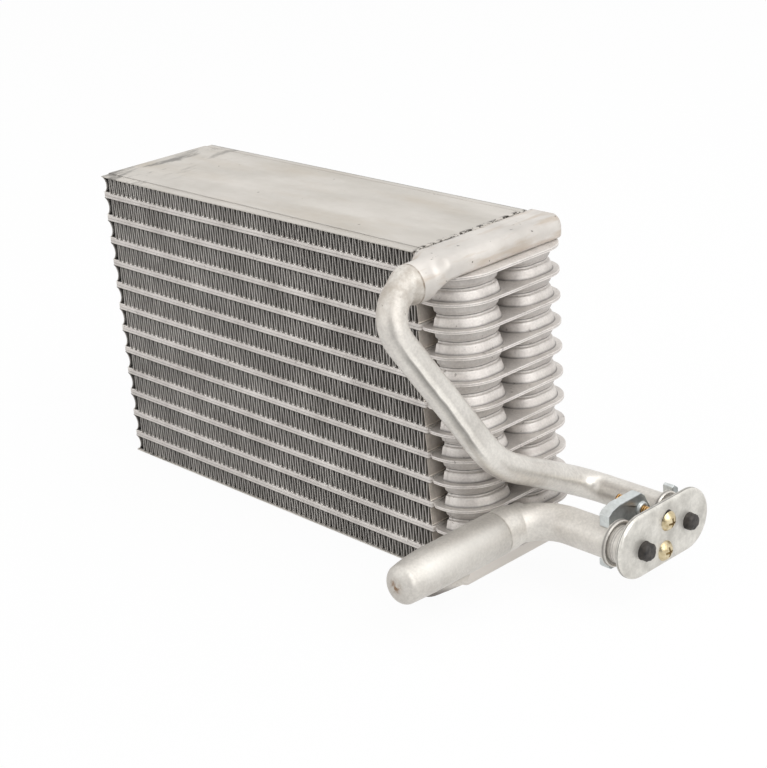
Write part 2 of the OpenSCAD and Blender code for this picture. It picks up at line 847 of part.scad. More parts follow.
// The cap plate, an oblong plate pierced for the screws and the rubber nubs
module cap_plate() {
  color("silver")
  difference() {
    union() {
      translate([x_cap, cap_y, cap_z])
        rotate([-90, -90, 0])
          linear_extrude(cap_spacing)
            union() {
              polygon(cap_half());
              mirror([1, 0])
                polygon(cap_half());
            }
      for (side = [0, 1])
        translate([x_cap, cap_y + side * cap_spacing, cap_z])
          rotate([0, 90, 0])
            rotate([0, 0, side * 180 - 180])
              rotate_extrude(angle = 180, $fn = 96)
                polygon(cap_half());
    }
    on_screws()
      translate([0, 0, -8])
        cylinder(h = 12, d = screw_d, $fn = facet);
    // The upper screw hole is a slot that shows over the screw's head
    translate([x_cap - 2, hole_y + screw_step / 2, screw_z + screw_spacing / 2]) {
      translate([0, -screw_d / 2, 0])
        cube([cap_t + 4, screw_d, screw_slot]);
      translate([0, 0, screw_slot])
        rotate([0, 90, 0])
          cylinder(h = cap_t + 4, d = screw_d, $fn = facet);
    }
    translate([x_cap - 2, hole_y - nub_spacing / 2, port_z])
      rotate([0, 90, 0])
        cylinder(h = cap_t + 4, d = suction_nub_d, $fn = facet);
    translate([x_cap - 2, hole_y + nub_spacing / 2, cap_z])
      rotate([0, 90, 0])
        cylinder(h = cap_t + 4, d = liquid_nub_d, $fn = facet);
  }
}

// A rubber plug: a body in the pipe end at place and a nub through the cap at nub_place
module rubber_plug(place, pipe_d, nub_place, nub_d) {
  bore_r = pipe_d / 2 - pipe_wall;
  translate([x_cap, place.x, place.y])
    rotate([0, 90, 0])
      rotate_extrude($fn = 64)
        polygon([
          [0, -14],
          [bore_r - 1, -14],
          [bore_r, -12],
          [bore_r, -1],
          [pipe_d / 2, -1],
          [pipe_d / 2, 0],
          [0, 0]]);
  translate([x_cap - 0.5, nub_place.x, nub_place.y])
    rotate([0, 90, 0])
      rotate_extrude($fn = 64)
        polygon([
          [0, 0],
          [nub_d / 2, 0],
          [nub_d / 2, cap_t + nub_out - 0.3],
          [nub_d / 2 - 0.8, cap_t + nub_out + 0.5],
          [0, cap_t + nub_out + 0.5]]);
}
module rubber_plugs() {
  color("dimgray") {
    rubber_plug([suction_y, port_z], suction_d, [hole_y - nub_spacing / 2, port_z], suction_nub_d);
    rubber_plug([liquid_y, liquid_z], liquid_d, [hole_y + nub_spacing / 2, cap_z], liquid_nub_d);
  }
}

// Two pan head screws with a cross recess
module screw() {
  head_r = screw_head_d / 2;
  sphere_r = (head_r * head_r + screw_head_h * screw_head_h) / (2 * screw_head_h);
  difference() {
    union() {
      translate([0, 0, -cap_t - cap_gap - bead_t - clamp_t - screw_out])
        cylinder(h = cap_t + cap_gap + bead_t + clamp_t + screw_out, d = screw_d, $fn = facet);
      intersection() {
        translate([0, 0, screw_head_h - sphere_r])
          sphere(r = sphere_r, $fn = 64);
        cylinder(h = screw_head_h, r = head_r, $fn = 64);
      }
    }
    for (turn_by = [0, 90])
      rotate([0, 0, turn_by])
        translate([-2.2, -0.5, screw_head_h - 1.6])
          cube([4.4, 1, 2]);
  }
}
module screws() {
  color("darkkhaki")
    on_screws()
      screw();
}

tube_upper(1);  // tube_01_upper
tube_lower(1);  // tube_01_lower
tube_upper(2);  // tube_02_upper
tube_lower(2);  // tube_02_lower
tube_upper(3);  // tube_03_upper
tube_lower(3);  // tube_03_lower
tube_upper(4);  // tube_04_upper
tube_lower(4);  // tube_04_lower
tube_upper(5);  // tube_05_upper
tube_lower(5);  // tube_05_lower
tube_upper(6);  // tube_06_upper
tube_lower(6);  // tube_06_lower
tube_upper(7);  // tube_07_upper
tube_lower(7);  // tube_07_lower
tube_upper(8);  // tube_08_upper
tube_lower(8);  // tube_08_lower
tube_upper(9);  // tube_09_upper
tube_lower(9);  // tube_09_lower
tube_upper(10);  // tube_10_upper
tube_lower(10);  // tube_10_lower
tube_upper(11);  // tube_11_upper
tube_lower(11);  // tube_11_lower
tube_upper(12);  // tube_12_upper
tube_lower(12);  // tube_12_lower
fin(1);  // fin_01
fin(2);  // fin_02
fin(3);  // fin_03
fin(4);  // fin_04
fin(5);  // fin_05
fin(6);  // fin_06
fin(7);  // fin_07
fin(8);  // fin_08
fin(9);  // fin_09
fin(10);  // fin_10
fin(11);  // fin_11
fin(12);  // fin_12
fin(13);  // fin_13
top_end_plate();
bottom_end_plate();
top_header();
bottom_header();
liquid_pipe();
suction_elbow();
suction_manifold();
suction_pipe();
clamp_plate();
cap_plate();
rubber_plugs();
screws();
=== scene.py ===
"""Look of a laminated evaporator core: dressed tube plates, fins, headers, pipes and fitting."""
import math

import bpy
from mathutils import Matrix, Vector, noise


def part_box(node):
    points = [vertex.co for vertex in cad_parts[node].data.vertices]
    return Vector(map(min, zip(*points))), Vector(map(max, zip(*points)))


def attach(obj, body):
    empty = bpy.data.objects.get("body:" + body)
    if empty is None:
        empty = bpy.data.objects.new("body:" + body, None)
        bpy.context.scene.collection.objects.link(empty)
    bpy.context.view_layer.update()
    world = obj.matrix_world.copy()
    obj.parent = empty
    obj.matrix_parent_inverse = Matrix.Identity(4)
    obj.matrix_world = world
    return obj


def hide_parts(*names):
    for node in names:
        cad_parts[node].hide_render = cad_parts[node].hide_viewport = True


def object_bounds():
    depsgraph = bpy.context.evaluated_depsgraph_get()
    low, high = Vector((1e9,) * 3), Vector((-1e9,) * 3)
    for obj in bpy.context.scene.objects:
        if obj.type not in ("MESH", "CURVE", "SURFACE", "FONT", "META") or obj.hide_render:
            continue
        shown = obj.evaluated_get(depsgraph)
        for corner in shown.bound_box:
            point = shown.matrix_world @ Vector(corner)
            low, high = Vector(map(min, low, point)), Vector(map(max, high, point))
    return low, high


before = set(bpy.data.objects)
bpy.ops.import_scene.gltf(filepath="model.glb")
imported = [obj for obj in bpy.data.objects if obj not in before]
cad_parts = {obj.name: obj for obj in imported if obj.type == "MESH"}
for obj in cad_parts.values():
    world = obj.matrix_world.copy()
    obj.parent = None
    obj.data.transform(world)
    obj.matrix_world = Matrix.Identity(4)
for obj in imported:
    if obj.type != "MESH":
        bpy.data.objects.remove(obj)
cad_low, cad_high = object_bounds()

MM = 0.001

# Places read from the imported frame
tube_low, tube_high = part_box("tube_02_upper")
fin_low, fin_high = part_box("fin_02")
cap_low, cap_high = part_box("cap_plate")
manifold_low, manifold_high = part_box("suction_manifold")
x_left = tube_low.x
x_flange = tube_high.x
x_fin_end = fin_high.x
y_front = tube_low.y
y_back = tube_high.y
core_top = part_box("top_end_plate")[1].z
header_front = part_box("top_header")[0].y
TUBES = 12
tube_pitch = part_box("tube_01_upper")[0].z - tube_low.z

# Sizes of the tube plates: the flat tube, the flange, the neck between them and the cups
bar_reach = 1.3 * MM
bar_tip_r = 2 * MM
bar_end_r = 1.2 * MM
flange_gap = 2.2 * MM
flange_inner_r = 1.4 * MM
flange_front_r = 19 * MM
flange_back_r = 14.5 * MM
neck_inset = 1.1 * MM
neck_lap = 2 * MM
cup_lip = 3 * MM
cup_setback = 4.5 * MM
cup_gap = 5 * MM
cup_corner_r = 9 * MM
cup_mid_r = 12 * MM
cup_inner_r = 3.5 * MM
cup_way_inset = 5 * MM
plate_lap = 3 * MM

# Sizes of the fins, as in the part
FINS_PER_ROW = 61
fin_t = 0.2 * MM
fin_crest = 1.2 * MM
fin_crest_r = 0.75 * MM
fin_setback = 4.2 * MM
fin_bow = 2.8 * MM
fin_tip = 0.3 * MM
fin_wander = 0.06 * MM

# Sizes of the headers
header_w = 19.4 * MM
header_h = 9.3 * MM
header_x = x_fin_end + 0.8 * MM
header_edge_r = 4.5 * MM
bottom_edge_r = 2.5 * MM
header_low_r = 1.8 * MM
header_soft_r = 0.8 * MM
header_corner_r = 5 * MM
header_blend_len = 5 * MM
header_back_y = y_back + 1.5 * MM
header_round_x = header_x + 8.8 * MM
suction_round_x = header_round_x + 3 * MM
header_round_r = 8.6 * MM
header_drop = 0.6 * MM
bottom_round_r = 9 * MM
header_z = core_top - header_drop - header_round_r

# Route of the liquid pipe: its corner before the header, its low corner, and the bend between them
LIQUID_CORNER = Vector((header_round_x, y_front - 35.8 * MM, header_z))
LIQUID_LOW = Vector((x_flange + 8.45 * MM, y_front + 7.3 * MM, 58.5 * MM))
LIQUID_BEND_R = 14.4 * MM
# Direction across the slanting length, away from the fins
LEG_ACROSS = Vector((0.41, 0.756, 0.509)).normalized()
# The cone at its end
flare_r = 8.55 * MM
flare_end_r = 6.38 * MM
flare_len = 8 * MM

# The manifold: its axis and radius, its domed front end, the taper behind that and the sag of both
manifold_x = (manifold_low.x + manifold_high.x) / 2
manifold_z = manifold_high.z - (manifold_high.x - manifold_low.x) / 2
manifold_r = (manifold_high.x - manifold_low.x) / 2 - 0.3 * MM
manifold_front = manifold_low.y + 1.7 * MM
dome_len = 4.4 * MM
dome_fall = 5.6 * MM
taper = 1.0 * MM
taper_len = 17 * MM
manifold_sag = 1.1 * MM
# Its joint with the suction pipe, and the neck behind that
joint_y = manifold_high.y - 5 * MM
joint_groove = 0.15 * MM
neck_y = manifold_high.y + 0.2 * MM
neck_r = manifold_r - 0.08 * MM
neck_end_r = 7.98 * MM
neck_len = 11 * MM

# The elbow from the bottom header: its axis height, its corner, and its flare at the braze
elbow_z = 9 * MM
elbow_reach = 20.5 * MM
elbow_bend_r = 9 * MM
elbow_r = 7.95 * MM
elbow_flare_r = 8.95 * MM
elbow_flare_len = 5 * MM
elbow_end_z = manifold_z - 5 * MM

# Ports of the two pipes in the cap plate, with the bore and the outside of each pipe
SUCTION_PORT = Vector((cap_low.x, y_front + 29.5 * MM, 27.6 * MM))
LIQUID_PORT = SUCTION_PORT + Vector((0, 31.5 * MM, 3 * MM))
suction_bore_r = 6.75 * MM
suction_pipe_r = 7.95 * MM
liquid_bore_r = 5.15 * MM
liquid_pipe_r = 6.35 * MM
# Face of the clamp plate towards the cap plate
clamp_face = cap_low.x - 11.2 * MM

# Nubs of the plugs: Y and Z from the suction port, and their radii
SUCTION_NUB = (1.4 * MM, 0)
LIQUID_NUB = (30.4 * MM, 2.2 * MM)
suction_nub_r = 4.1 * MM
liquid_nub_r = 3.6 * MM
# Shape of a nub: X from the cap plate in mm, and share of its radius
NUB_PROFILE = ((-2.4, 1.0), (0.0, 1.0), (0.9, 0.97), (1.9, 0.95), (2.9, 0.93), (3.4, 0.82), (3.7, 0.55),
               (3.65, 0.1))

# The painted shade at the end of the slot over the upper screw: Y and Z from the suction port, and its
# radius
SLOT_END = (17.0 * MM, 10.3 * MM)
slot_end_r = 2.0 * MM


def seam_of(number):
    """Height of the seam of a tube."""
    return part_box(f"tube_{number:02d}_upper")[0].z


def srgb(red, green, blue):
    """A colour given in 0 to 255 steps of the screen, as linear light."""
    def line(value):
        value /= 255
        return value / 12.92 if value <= 0.04045 else ((value + 0.055) / 1.055) ** 2.4
    return (line(red), line(green), line(blue), 1)


# Colours that more than one material has
PIPE_LIGHT = srgb(226, 222, 215)
PIPE_DARK = srgb(208, 203, 196)
BURNT_FLUX = srgb(52, 45, 38)
# Cells of noise to the metre: the grain of the pipes, and the changes of roughness on every material
PIPE_GRAIN = 900
ROUGH_SCALE = 180


class Nodes:
    """A material's node tree with short calls for the nodes that are used here."""

    def __init__(self, name):
        self.material = bpy.data.materials.new(name)
        self.material.use_nodes = True
        self.tree = self.material.node_tree
        self.shader = self.tree.nodes["Principled BSDF"]
        self.place = self.new("TexCoord").outputs["Object"]

    def new(self, kind, operation=None):
        """A new node of that kind."""
        made = self.tree.nodes.new("ShaderNode" + kind)
        if operation:
            made.operation = operation
        return made

    def link(self, source, target):
        self.tree.links.new(source, target)

    def feed(self, pairs):
        """Gives each socket its value, which is another socket or a number."""
        for socket, value in pairs:
            if hasattr(value, "links"):
                self.link(value, socket)
            else:
                socket.default_value = value

    def noise(self, scale, detail=3.0, stretch=(1, 1, 1), rough=0.55):
        """Noise of that many cells to the metre, stretched along the axes."""
        mapping = self.new("Mapping")
        mapping.inputs["Scale"].default_value = stretch
        self.link(self.place, mapping.inputs["Vector"])
        made = self.new("TexNoise")
        made.inputs["Scale"].default_value = scale
        made.inputs["Detail"].default_value = detail
        made.inputs["Roughness"].default_value = rough
        self.link(mapping.outputs["Vector"], made.inputs["Vector"])
        return made.outputs["Fac"]

    def ramp(self, value, stops):
        """Colours or greys along a value: pairs of place and colour."""
        made = self.new("ValToRGB")
        elements = made.color_ramp.elements
        while len(elements) < len(stops):
            elements.new(0.5)
        for element, (place, colour) in zip(elements, stops):
            element.position = place
            element.color = colour if hasattr(colour, "__len__") else (colour, colour, colour, 1)
        self.link(value, made.inputs["Fac"])
        return made.outputs["Color"]

    def mix(self, amount, first, second, blend="MIX"):
        """Two colours mixed by an amount, which is a socket or a number."""
        made = self.new("Mix")
        made.data_type = "RGBA"
        made.blend_type = blend
        self.feed(((made.inputs[0], amount), (made.inputs[6], first), (made.inputs[7], second)))
        return made.outputs[2]

    def math(self, operation, first, second=0.0):
        """A sum on one or two values. The third, which only MULTIPLY_ADD uses, is 0.5."""
        made = self.new("Math", operation)
        self.feed(zip(made.inputs, (first, second, 0.5)))
        return made.outputs[0]

    def axis(self, name):
        """The place along that axis of the frame."""
        split = self.new("SeparateXYZ")
        self.link(self.place, split.inputs[0])
        return split.outputs[name]

    def along(self, start, direction):
        """Distance from a point of the frame along a direction."""
        shifted = self.new("VectorMath", "SUBTRACT")
        self.link(self.place, shifted.inputs[0])
        shifted.inputs[1].default_value = start
        made = self.new("VectorMath", "DOT_PRODUCT")
        self.link(shifted.outputs[0], made.inputs[0])
        made.inputs[1].default_value = direction
        return made.outputs["Value"]

    def distance(self, point):
        """Distance from a point of the frame."""
        made = self.new("VectorMath", "DISTANCE")
        self.link(self.place, made.inputs[0])
        made.inputs[1].default_value = point
        return made.outputs["Value"]

    def between(self, value, low, high):
        """0 at low and 1 at high, with a smooth turn."""
        made = self.new("MapRange")
        made.interpolation_type = "SMOOTHSTEP"
        made.inputs["From Min"].default_value = low
        made.inputs["From Max"].default_value = high
        self.link(value, made.inputs["Value"])
        return made.outputs["Result"]

    def before(self, value, low, high):
        """1 at low and 0 at high, with a smooth turn."""
        return self.math("SUBTRACT", 1.0, self.between(value, low, high))

    def times(self, value, *others):
        """The product of values, which are sockets or numbers."""
        for other in others:
            value = self.math("MULTIPLY", value, other)
        return value

    def shaded(self, colour, shade):
        """A colour multiplied by a shade."""
        return self.mix(1.0, colour, shade, "MULTIPLY")

    def bump(self, height, distance):
        """Bumps of that height."""
        made = self.new("Bump")
        made.inputs["Distance"].default_value = distance
        self.link(height, made.inputs["Height"])
        self.link(made.outputs["Normal"], self.shader.inputs["Normal"])

    def finish(self, colour, metallic, rough_low, rough_high):
        """The material with that colour and a roughness that wanders between two values."""
        self.link(colour, self.shader.inputs["Base Color"])
        self.shader.inputs["Metallic"].default_value = metallic
        rough = self.ramp(self.noise(ROUGH_SCALE), [(0.3, rough_low), (0.7, rough_high)])
        self.link(rough, self.shader.inputs["Roughness"])
        return self.material


def satin(made, light, dark, grain):
    """The colour of satin aluminium: soft patches under a fine grain."""
    patches = made.ramp(made.noise(70, 4), [(0.3, dark), (0.7, light)])
    fine = made.ramp(made.noise(grain, 2), [(0.35, 0.88), (0.65, 1.0)])
    return made.mix(1.0, patches, fine, "MULTIPLY")


def pitch_share(made):
    """Height as a share of the tube pitch: 0.5 at a seam, and 0 or 1 halfway to the next."""
    start = seam_of(TUBES) - tube_pitch / 2
    return made.math("FRACT", made.math("DIVIDE", made.math("SUBTRACT", made.axis("Z"), start), tube_pitch))


def tube_look():
    """Tube aluminium: sandy, with a painted highlight on the brazed rims and painted shade in the creases
    beside them.
    """
    made = Nodes("tube_metal")
    colour = satin(made, srgb(224, 219, 214), srgb(198, 192, 187), 1100)
    speck = made.ramp(made.noise(480, 2), [(0.7, 0), (0.73, 1)])
    colour = made.mix(made.times(speck, 0.55), colour, srgb(110, 102, 94))
    share = pitch_share(made)
    # Painted light and shade by height: painted highlights on the rims and upper walls, painted shade in the
    # creases beside the rims, on the walls under them and where the cups meet
    creases = made.ramp(share, [(0.0, 0.55), (0.02, 0.9), (0.3, 0.86), (0.41, 0.62), (0.436, 0.7),
                                (0.443, 1.15), (0.488, 1.15), (0.5, 0.6), (0.512, 1.15), (0.561, 1.15),
                                (0.567, 0.36), (0.592, 0.46), (0.64, 0.92), (0.78, 1.12), (0.9, 1.05),
                                (0.98, 0.85), (1.0, 0.5)])
    bars = made.ramp(share, [(0.0, 1.0), (0.485, 1.0), (0.5, 0.66), (0.515, 1.0), (1.0, 1.0)])
    at_cups = made.between(made.axis("X"), x_fin_end + 1.5 * MM, x_fin_end + 4 * MM)
    shade = made.mix(at_cups, bars, creases)
    made.bump(made.noise(900, 3), 0.06 * MM)
    return made.finish(made.shaded(colour, shade), 0.5, 0.44, 0.6)


def fin_look():
    """Fin aluminium: painted light on the cut edges, and painted shade further in between the legs."""
    made = Nodes("fin_metal")
    colour = satin(made, srgb(210, 206, 201), srgb(178, 174, 169), 700)
    # Painted light and shade: bright near the front and back faces, dark deeper in between the legs
    inward = made.math("SUBTRACT", y_back, made.math("ABSOLUTE", made.axis("Y")))
    edge = made.ramp(made.between(inward, 0.0, 2.6 * MM),
                     [(0.0, 1.35), (0.26, 1.25), (0.4, 0.5), (1.0, 0.34)])
    # Painted light: the last leg beside the cups is painted bright over its whole depth
    last = made.between(made.axis("X"), x_fin_end - 0.8 * MM, x_fin_end - 0.6 * MM)
    shade = made.mix(last, edge, (1.25, 1.2, 1.15, 1))
    # Crests: painted shade under the tube above, and a painted highlight where they are brazed to the tube
    # below
    bar = (tube_pitch - (fin_high.z - fin_low.z)) / 2 / tube_pitch
    crests = made.ramp(pitch_share(made), [(0.0, 1.0), (0.5 - bar - 0.08, 1.0), (0.5 - bar - 0.03, 0.45),
                                           (0.5, 0.45), (0.501, 1.75), (0.5 + bar + 0.035, 1.75),
                                           (0.5 + bar + 0.07, 1.0), (1.0, 1.0)])
    shade = made.shaded(shade, crests)
    return made.finish(made.shaded(colour, shade), 0.4, 0.45, 0.6)


def pipe_ends(made, colour):
    """Paints shade on the dished face of a bead and in the grooves of the spigot before the cap plate, and a
    little painted light between them.
    """
    run = made.between(made.axis("X"), cap_low.x - 10.6 * MM, cap_low.x)
    # Painted shade in the recesses, and a little painted light on the faces between them
    shade = made.ramp(run, [(0.0, 1.0), (0.01, 0.45), (0.035, 0.5), (0.05, 1.05), (0.16, 1.05),
                            (0.19, 0.45), (0.22, 0.95), (0.3, 1.0), (0.33, 0.5), (0.36, 1.0)])
    return made.shaded(colour, shade)


def pipe_look():
    """Pipe aluminium of the suction side."""
    made = Nodes("pipe_metal")
    colour = pipe_ends(made, satin(made, PIPE_LIGHT, PIPE_DARK, PIPE_GRAIN))
    made.bump(made.noise(900, 3), 0.02 * MM)
    return made.finish(colour, 0.6, 0.5, 0.6)


def clamp_look():
    """Zinc plated steel: pale and bluish, with blotchy painted shade on the face towards the cap."""
    made = Nodes("zinc_metal")
    colour = satin(made, srgb(226, 230, 229), srgb(198, 203, 202), 700)
    # Painted shade: the face towards the cap is darkened in blotches
    blotchy_painted_shade = made.ramp(made.noise(240, 4), [(0.35, 0.42), (0.65, 0.62)])
    face = made.times(made.between(made.axis("X"), clamp_face - 0.35 * MM, clamp_face - 0.05 * MM),
                      made.before(made.axis("X"), clamp_face + 0.1 * MM, clamp_face + 0.4 * MM))
    made.bump(made.noise(700, 3), 0.02 * MM)
    return made.finish(made.mix(face, colour, made.shaded(colour, blotchy_painted_shade)), 0.65, 0.3, 0.42)


def cap_look():
    """Cap aluminium: mottled grey, with a painted highlight on its rolled edge and a painted dark line of
    shade under it.
    """
    made = Nodes("cap_metal")
    mottle = made.noise(120, 5, rough=0.65)
    base = made.ramp(mottle, [(0.35, srgb(184, 181, 174)), (0.65, srgb(216, 213, 206))])
    fine = made.ramp(made.noise(900, 2), [(0.35, 0.9), (0.65, 1.0)])
    # Painted light and shade: a painted highlight on the rolled edge and a painted dark line under it
    run = made.between(made.axis("X"), cap_low.x, cap_low.x + 3 * MM)
    edge = made.ramp(run, [(0.0, 0.7), (0.12, 0.95), (0.24, 0.95), (0.3, 0.3), (0.38, 0.38),
                           (0.48, 1.25), (0.78, 1.25), (1.0, 1.0)])
    made.bump(made.noise(500, 4), 0.04 * MM)
    return made.finish(made.shaded(made.shaded(base, fine), edge), 0.6, 0.36, 0.48)


def liquid_look():
    """Pipe aluminium that is stained grey and brown near the header joint, with a painted reflection along
    its slanting length.
    """
    made = Nodes("liquid_metal")
    base = pipe_ends(made, satin(made, srgb(230, 226, 219), PIPE_DARK, PIPE_GRAIN))
    # Painted reflection: a dark grey band and a bright band painted along the slanting length, as mirrored
    # surroundings
    wander = made.times(made.math("SUBTRACT", made.noise(45, 2), 0.5), 2.5 * MM)
    across = made.math("ADD", made.along(LIQUID_CORNER, LEG_ACROSS), wander)
    streak = made.ramp(made.between(across, -7 * MM, 7 * MM),
                       [(0.0, 0.93), (0.22, 1.0), (0.36, 0.62), (0.47, 0.42), (0.52, 0.7), (0.56, 1.25),
                        (0.68, 1.2), (0.78, 0.86), (1.0, 0.92)])
    on_leg = made.times(made.between(made.axis("Z"), 60 * MM, 76 * MM),
                        made.before(made.axis("Z"), 108 * MM, 128 * MM))
    base = made.mix(on_leg, base, made.shaded(base, streak))
    joint = (header_round_x, y_front - 18 * MM, header_z)
    near = made.before(made.distance(joint), 7 * MM, 22 * MM)
    mottled = made.ramp(made.noise(160, 5, rough=0.65), [(0.4, 0.15), (0.62, 1)])
    stained = made.mix(made.times(near, mottled), base, srgb(184, 176, 166))
    speck = made.ramp(made.noise(520, 2), [(0.7, 0), (0.74, 1)])
    colour = made.mix(made.times(near, speck, 0.7), stained, srgb(96, 88, 78))
    # The braze line at the header
    at_joint = made.times(made.between(made.axis("Y"), header_front - 1.0 * MM, header_front - 0.3 * MM),
                          made.between(made.axis("Z"), header_z - 10 * MM, header_z - 9 * MM))
    uneven = made.ramp(made.noise(300, 4), [(0.4, 0.2), (0.6, 0.75)])
    colour = made.mix(made.times(at_joint, uneven), colour, srgb(124, 108, 90))
    made.bump(made.noise(700, 3), 0.02 * MM)
    material = made.finish(colour, 0.65, 0.34, 0.44)
    # Rougher where it is stained
    rough = made.shader.inputs["Roughness"]
    made.link(made.math("ADD", rough.links[0].from_socket, made.times(near, 0.3)), rough)
    return material


def elbow_look():
    """Elbow aluminium, with painted shade towards its underside at the bend."""
    made = Nodes("elbow_metal")
    base = satin(made, srgb(214, 209, 202), srgb(196, 191, 184), PIPE_GRAIN)
    # Painted shade: darker low down at the bend
    low = made.before(made.axis("Z"), 8 * MM, 18 * MM)
    bend = made.before(made.axis("Y"), y_front - 18 * MM, y_front - 14 * MM)
    colour = made.mix(made.times(low, bend, 0.9), base, srgb(96, 88, 80))
    made.bump(made.noise(700, 4), 0.03 * MM)
    return made.finish(colour, 0.4, 0.5, 0.65)


def manifold_look():
    """Manifold aluminium: matt, with a painted highlight along its upper side and a brown mark where its
    spun end closes.
    """
    made = Nodes("manifold_metal")
    base = satin(made, srgb(213, 209, 202), srgb(197, 192, 185), PIPE_GRAIN)
    # Painted highlight: a brighter band along the part of its side that faces up and out
    turn = made.math("ARCTAN2", made.math("SUBTRACT", made.axis("Z"), manifold_z),
                     made.math("SUBTRACT", made.axis("X"), manifold_x))
    wave = made.times(made.math("MULTIPLY_ADD", made.noise(70, 3), 0.5), 0.3)
    painted_highlight_band = made.ramp(made.between(made.math("ADD", turn, wave), -0.3, 1.7),
                     [(0.05, 0), (0.4, 1), (0.75, 1), (1.0, 0)])
    length = made.times(made.between(made.axis("Y"), manifold_low.y + 6 * MM, manifold_low.y + 16 * MM),
                        made.before(made.axis("Y"), manifold_high.y - 14 * MM, manifold_high.y - 4 * MM))
    base = made.mix(made.times(painted_highlight_band, length, 0.5), base, srgb(236, 233, 227))
    # The neck behind the joint is the suction pipe's metal, and a dull line of braze lies between them
    neck = made.between(made.axis("Y"), joint_y - 0.4 * MM, joint_y + 0.4 * MM)
    base = made.mix(neck, base, satin(made, PIPE_LIGHT, PIPE_DARK, PIPE_GRAIN))
    braze = made.times(made.between(made.axis("Y"), joint_y - 0.9 * MM, joint_y - 0.5 * MM),
                       made.before(made.axis("Y"), joint_y, joint_y + 0.4 * MM))
    patchy = made.ramp(made.noise(300, 4), [(0.4, 0.15), (0.6, 0.6)])
    base = made.mix(made.times(braze, patchy), base, srgb(140, 130, 116))
    tip = (manifold_x, manifold_low.y + 1.5 * MM, manifold_z)
    spot = made.before(made.distance(tip), 0.8 * MM, 4.5 * MM)
    ragged = made.ramp(made.noise(420, 4), [(0.42, 0.1), (0.6, 1)])
    colour = made.mix(made.times(spot, ragged), base, srgb(138, 112, 88))
    made.bump(made.noise(700, 4), 0.03 * MM)
    return made.finish(colour, 0.6, 0.46, 0.58)


def header_look():
    """Header aluminium with brown brazing stains and a few black specks."""
    made = Nodes("header_metal")
    base = made.ramp(made.noise(60, 4), [(0.3, srgb(196, 191, 185)), (0.7, srgb(216, 211, 205))])
    streak = made.noise(70, 5, (2.2, 0.35, 2.2), 0.62)
    stain = made.ramp(streak, [(0.54, 0), (0.66, 1)])
    stained = made.mix(made.times(stain, 0.42), base, srgb(178, 158, 134))
    speck = made.ramp(made.noise(420, 1), [(0.72, 0), (0.76, 1)])
    specked = made.mix(made.times(speck, 0.8), stained, srgb(70, 62, 54))
    # Paler low down
    lower = made.before(made.axis("Z"), 20 * MM, 30 * MM)
    specked = made.mix(made.times(lower, 0.8), specked, srgb(228, 222, 215))
    # Burnt flux along the joint with the end plate
    joint = made.before(made.axis("X"), header_x + 0.3 * MM, header_x + 2.2 * MM)
    burnt = made.ramp(made.noise(260, 5, rough=0.75), [(0.5, 0), (0.56, 1)])
    colour = made.mix(made.times(joint, burnt), specked, BURNT_FLUX)
    made.bump(made.noise(800, 3), 0.03 * MM)
    return made.finish(colour, 0.5, 0.45, 0.58)


def end_plate_look():
    """End plate aluminium: matt, faintly streaked, with dark scuffs at the plain end."""
    made = Nodes("end_plate_metal")
    streak = made.noise(40, 4, (0.5, 1.4, 1))
    base = made.ramp(streak, [(0.3, srgb(186, 181, 173)), (0.7, srgb(206, 201, 194))])
    stain = made.ramp(made.noise(22, 5, (0.6, 2.2, 1)), [(0.52, 0), (0.72, 1)])
    warm = made.mix(made.times(stain, 0.4), base, srgb(178, 166, 148))
    near_end = made.before(made.axis("X"), x_left + 6 * MM, x_left + 46 * MM)
    scuff = made.ramp(made.noise(70, 6, (1.5, 0.55, 1), 0.68), [(0.5, 0), (0.6, 1)])
    scuffed = made.mix(made.times(near_end, scuff, 0.85), warm, srgb(118, 115, 110))
    speck = made.ramp(made.noise(300, 1), [(0.76, 0), (0.8, 1)])
    specked = made.mix(made.times(speck, 0.6), scuffed, srgb(90, 82, 72))
    # Burnt flux along the joint with the header
    joint = made.between(made.axis("X"), x_fin_end - 2.4 * MM, x_fin_end - 0.2 * MM)
    burnt = made.ramp(made.noise(260, 5, rough=0.75), [(0.5, 0), (0.54, 1)])
    colour = made.mix(made.times(joint, burnt), specked, BURNT_FLUX)
    made.bump(made.noise(700, 3), 0.03 * MM)
    return made.finish(colour, 0.5, 0.45, 0.6)


def rubber_look():
    """Black rubber, torn and dusty."""
    made = Nodes("rubber")
    colour = made.ramp(made.noise(500, 4), [(0.3, srgb(26, 24, 23)), (0.7, srgb(66, 61, 57))])
    made.bump(made.noise(700, 4), 0.3 * MM)
    return made.finish(colour, 0.0, 0.45, 0.65)


def yellow_zinc_look():
    """Yellow zinc: pale on the heads, with brown turns of thread behind the cap plate, painted dark and
    light in turn as their shade and light.
    """
    made = Nodes("yellow_zinc")
    head = made.ramp(made.noise(450, 3), [(0.3, srgb(176, 158, 120)), (0.7, srgb(226, 212, 178))])
    # Painted light and shade: striped dark and light along X, as the lit and shaded flanks of the thread
    # turns, over their brown tone
    thread_pitch = 1.0 * MM
    turns = made.math("SINE", made.times(made.axis("X"), math.tau / thread_pitch))
    thread = made.ramp(made.math("MULTIPLY_ADD", turns, 0.5),
                       [(0.3, srgb(104, 66, 36)), (0.6, srgb(222, 178, 112))])
    behind = made.before(made.axis("X"), cap_low.x, cap_low.x + 0.5 * MM)
    made.bump(made.noise(900, 2), 0.02 * MM)
    return made.finish(made.mix(behind, head, thread), 0.8, 0.26, 0.4)


tube_metal = tube_look()
fin_metal = fin_look()
pipe_metal = pipe_look()
liquid_metal = liquid_look()
manifold_metal = manifold_look()
elbow_metal = elbow_look()
zinc_metal = clamp_look()
cap_metal = cap_look()
header_metal = header_look()
end_plate_metal = end_plate_look()
rubber = rubber_look()
yellow_zinc = yellow_zinc_look()


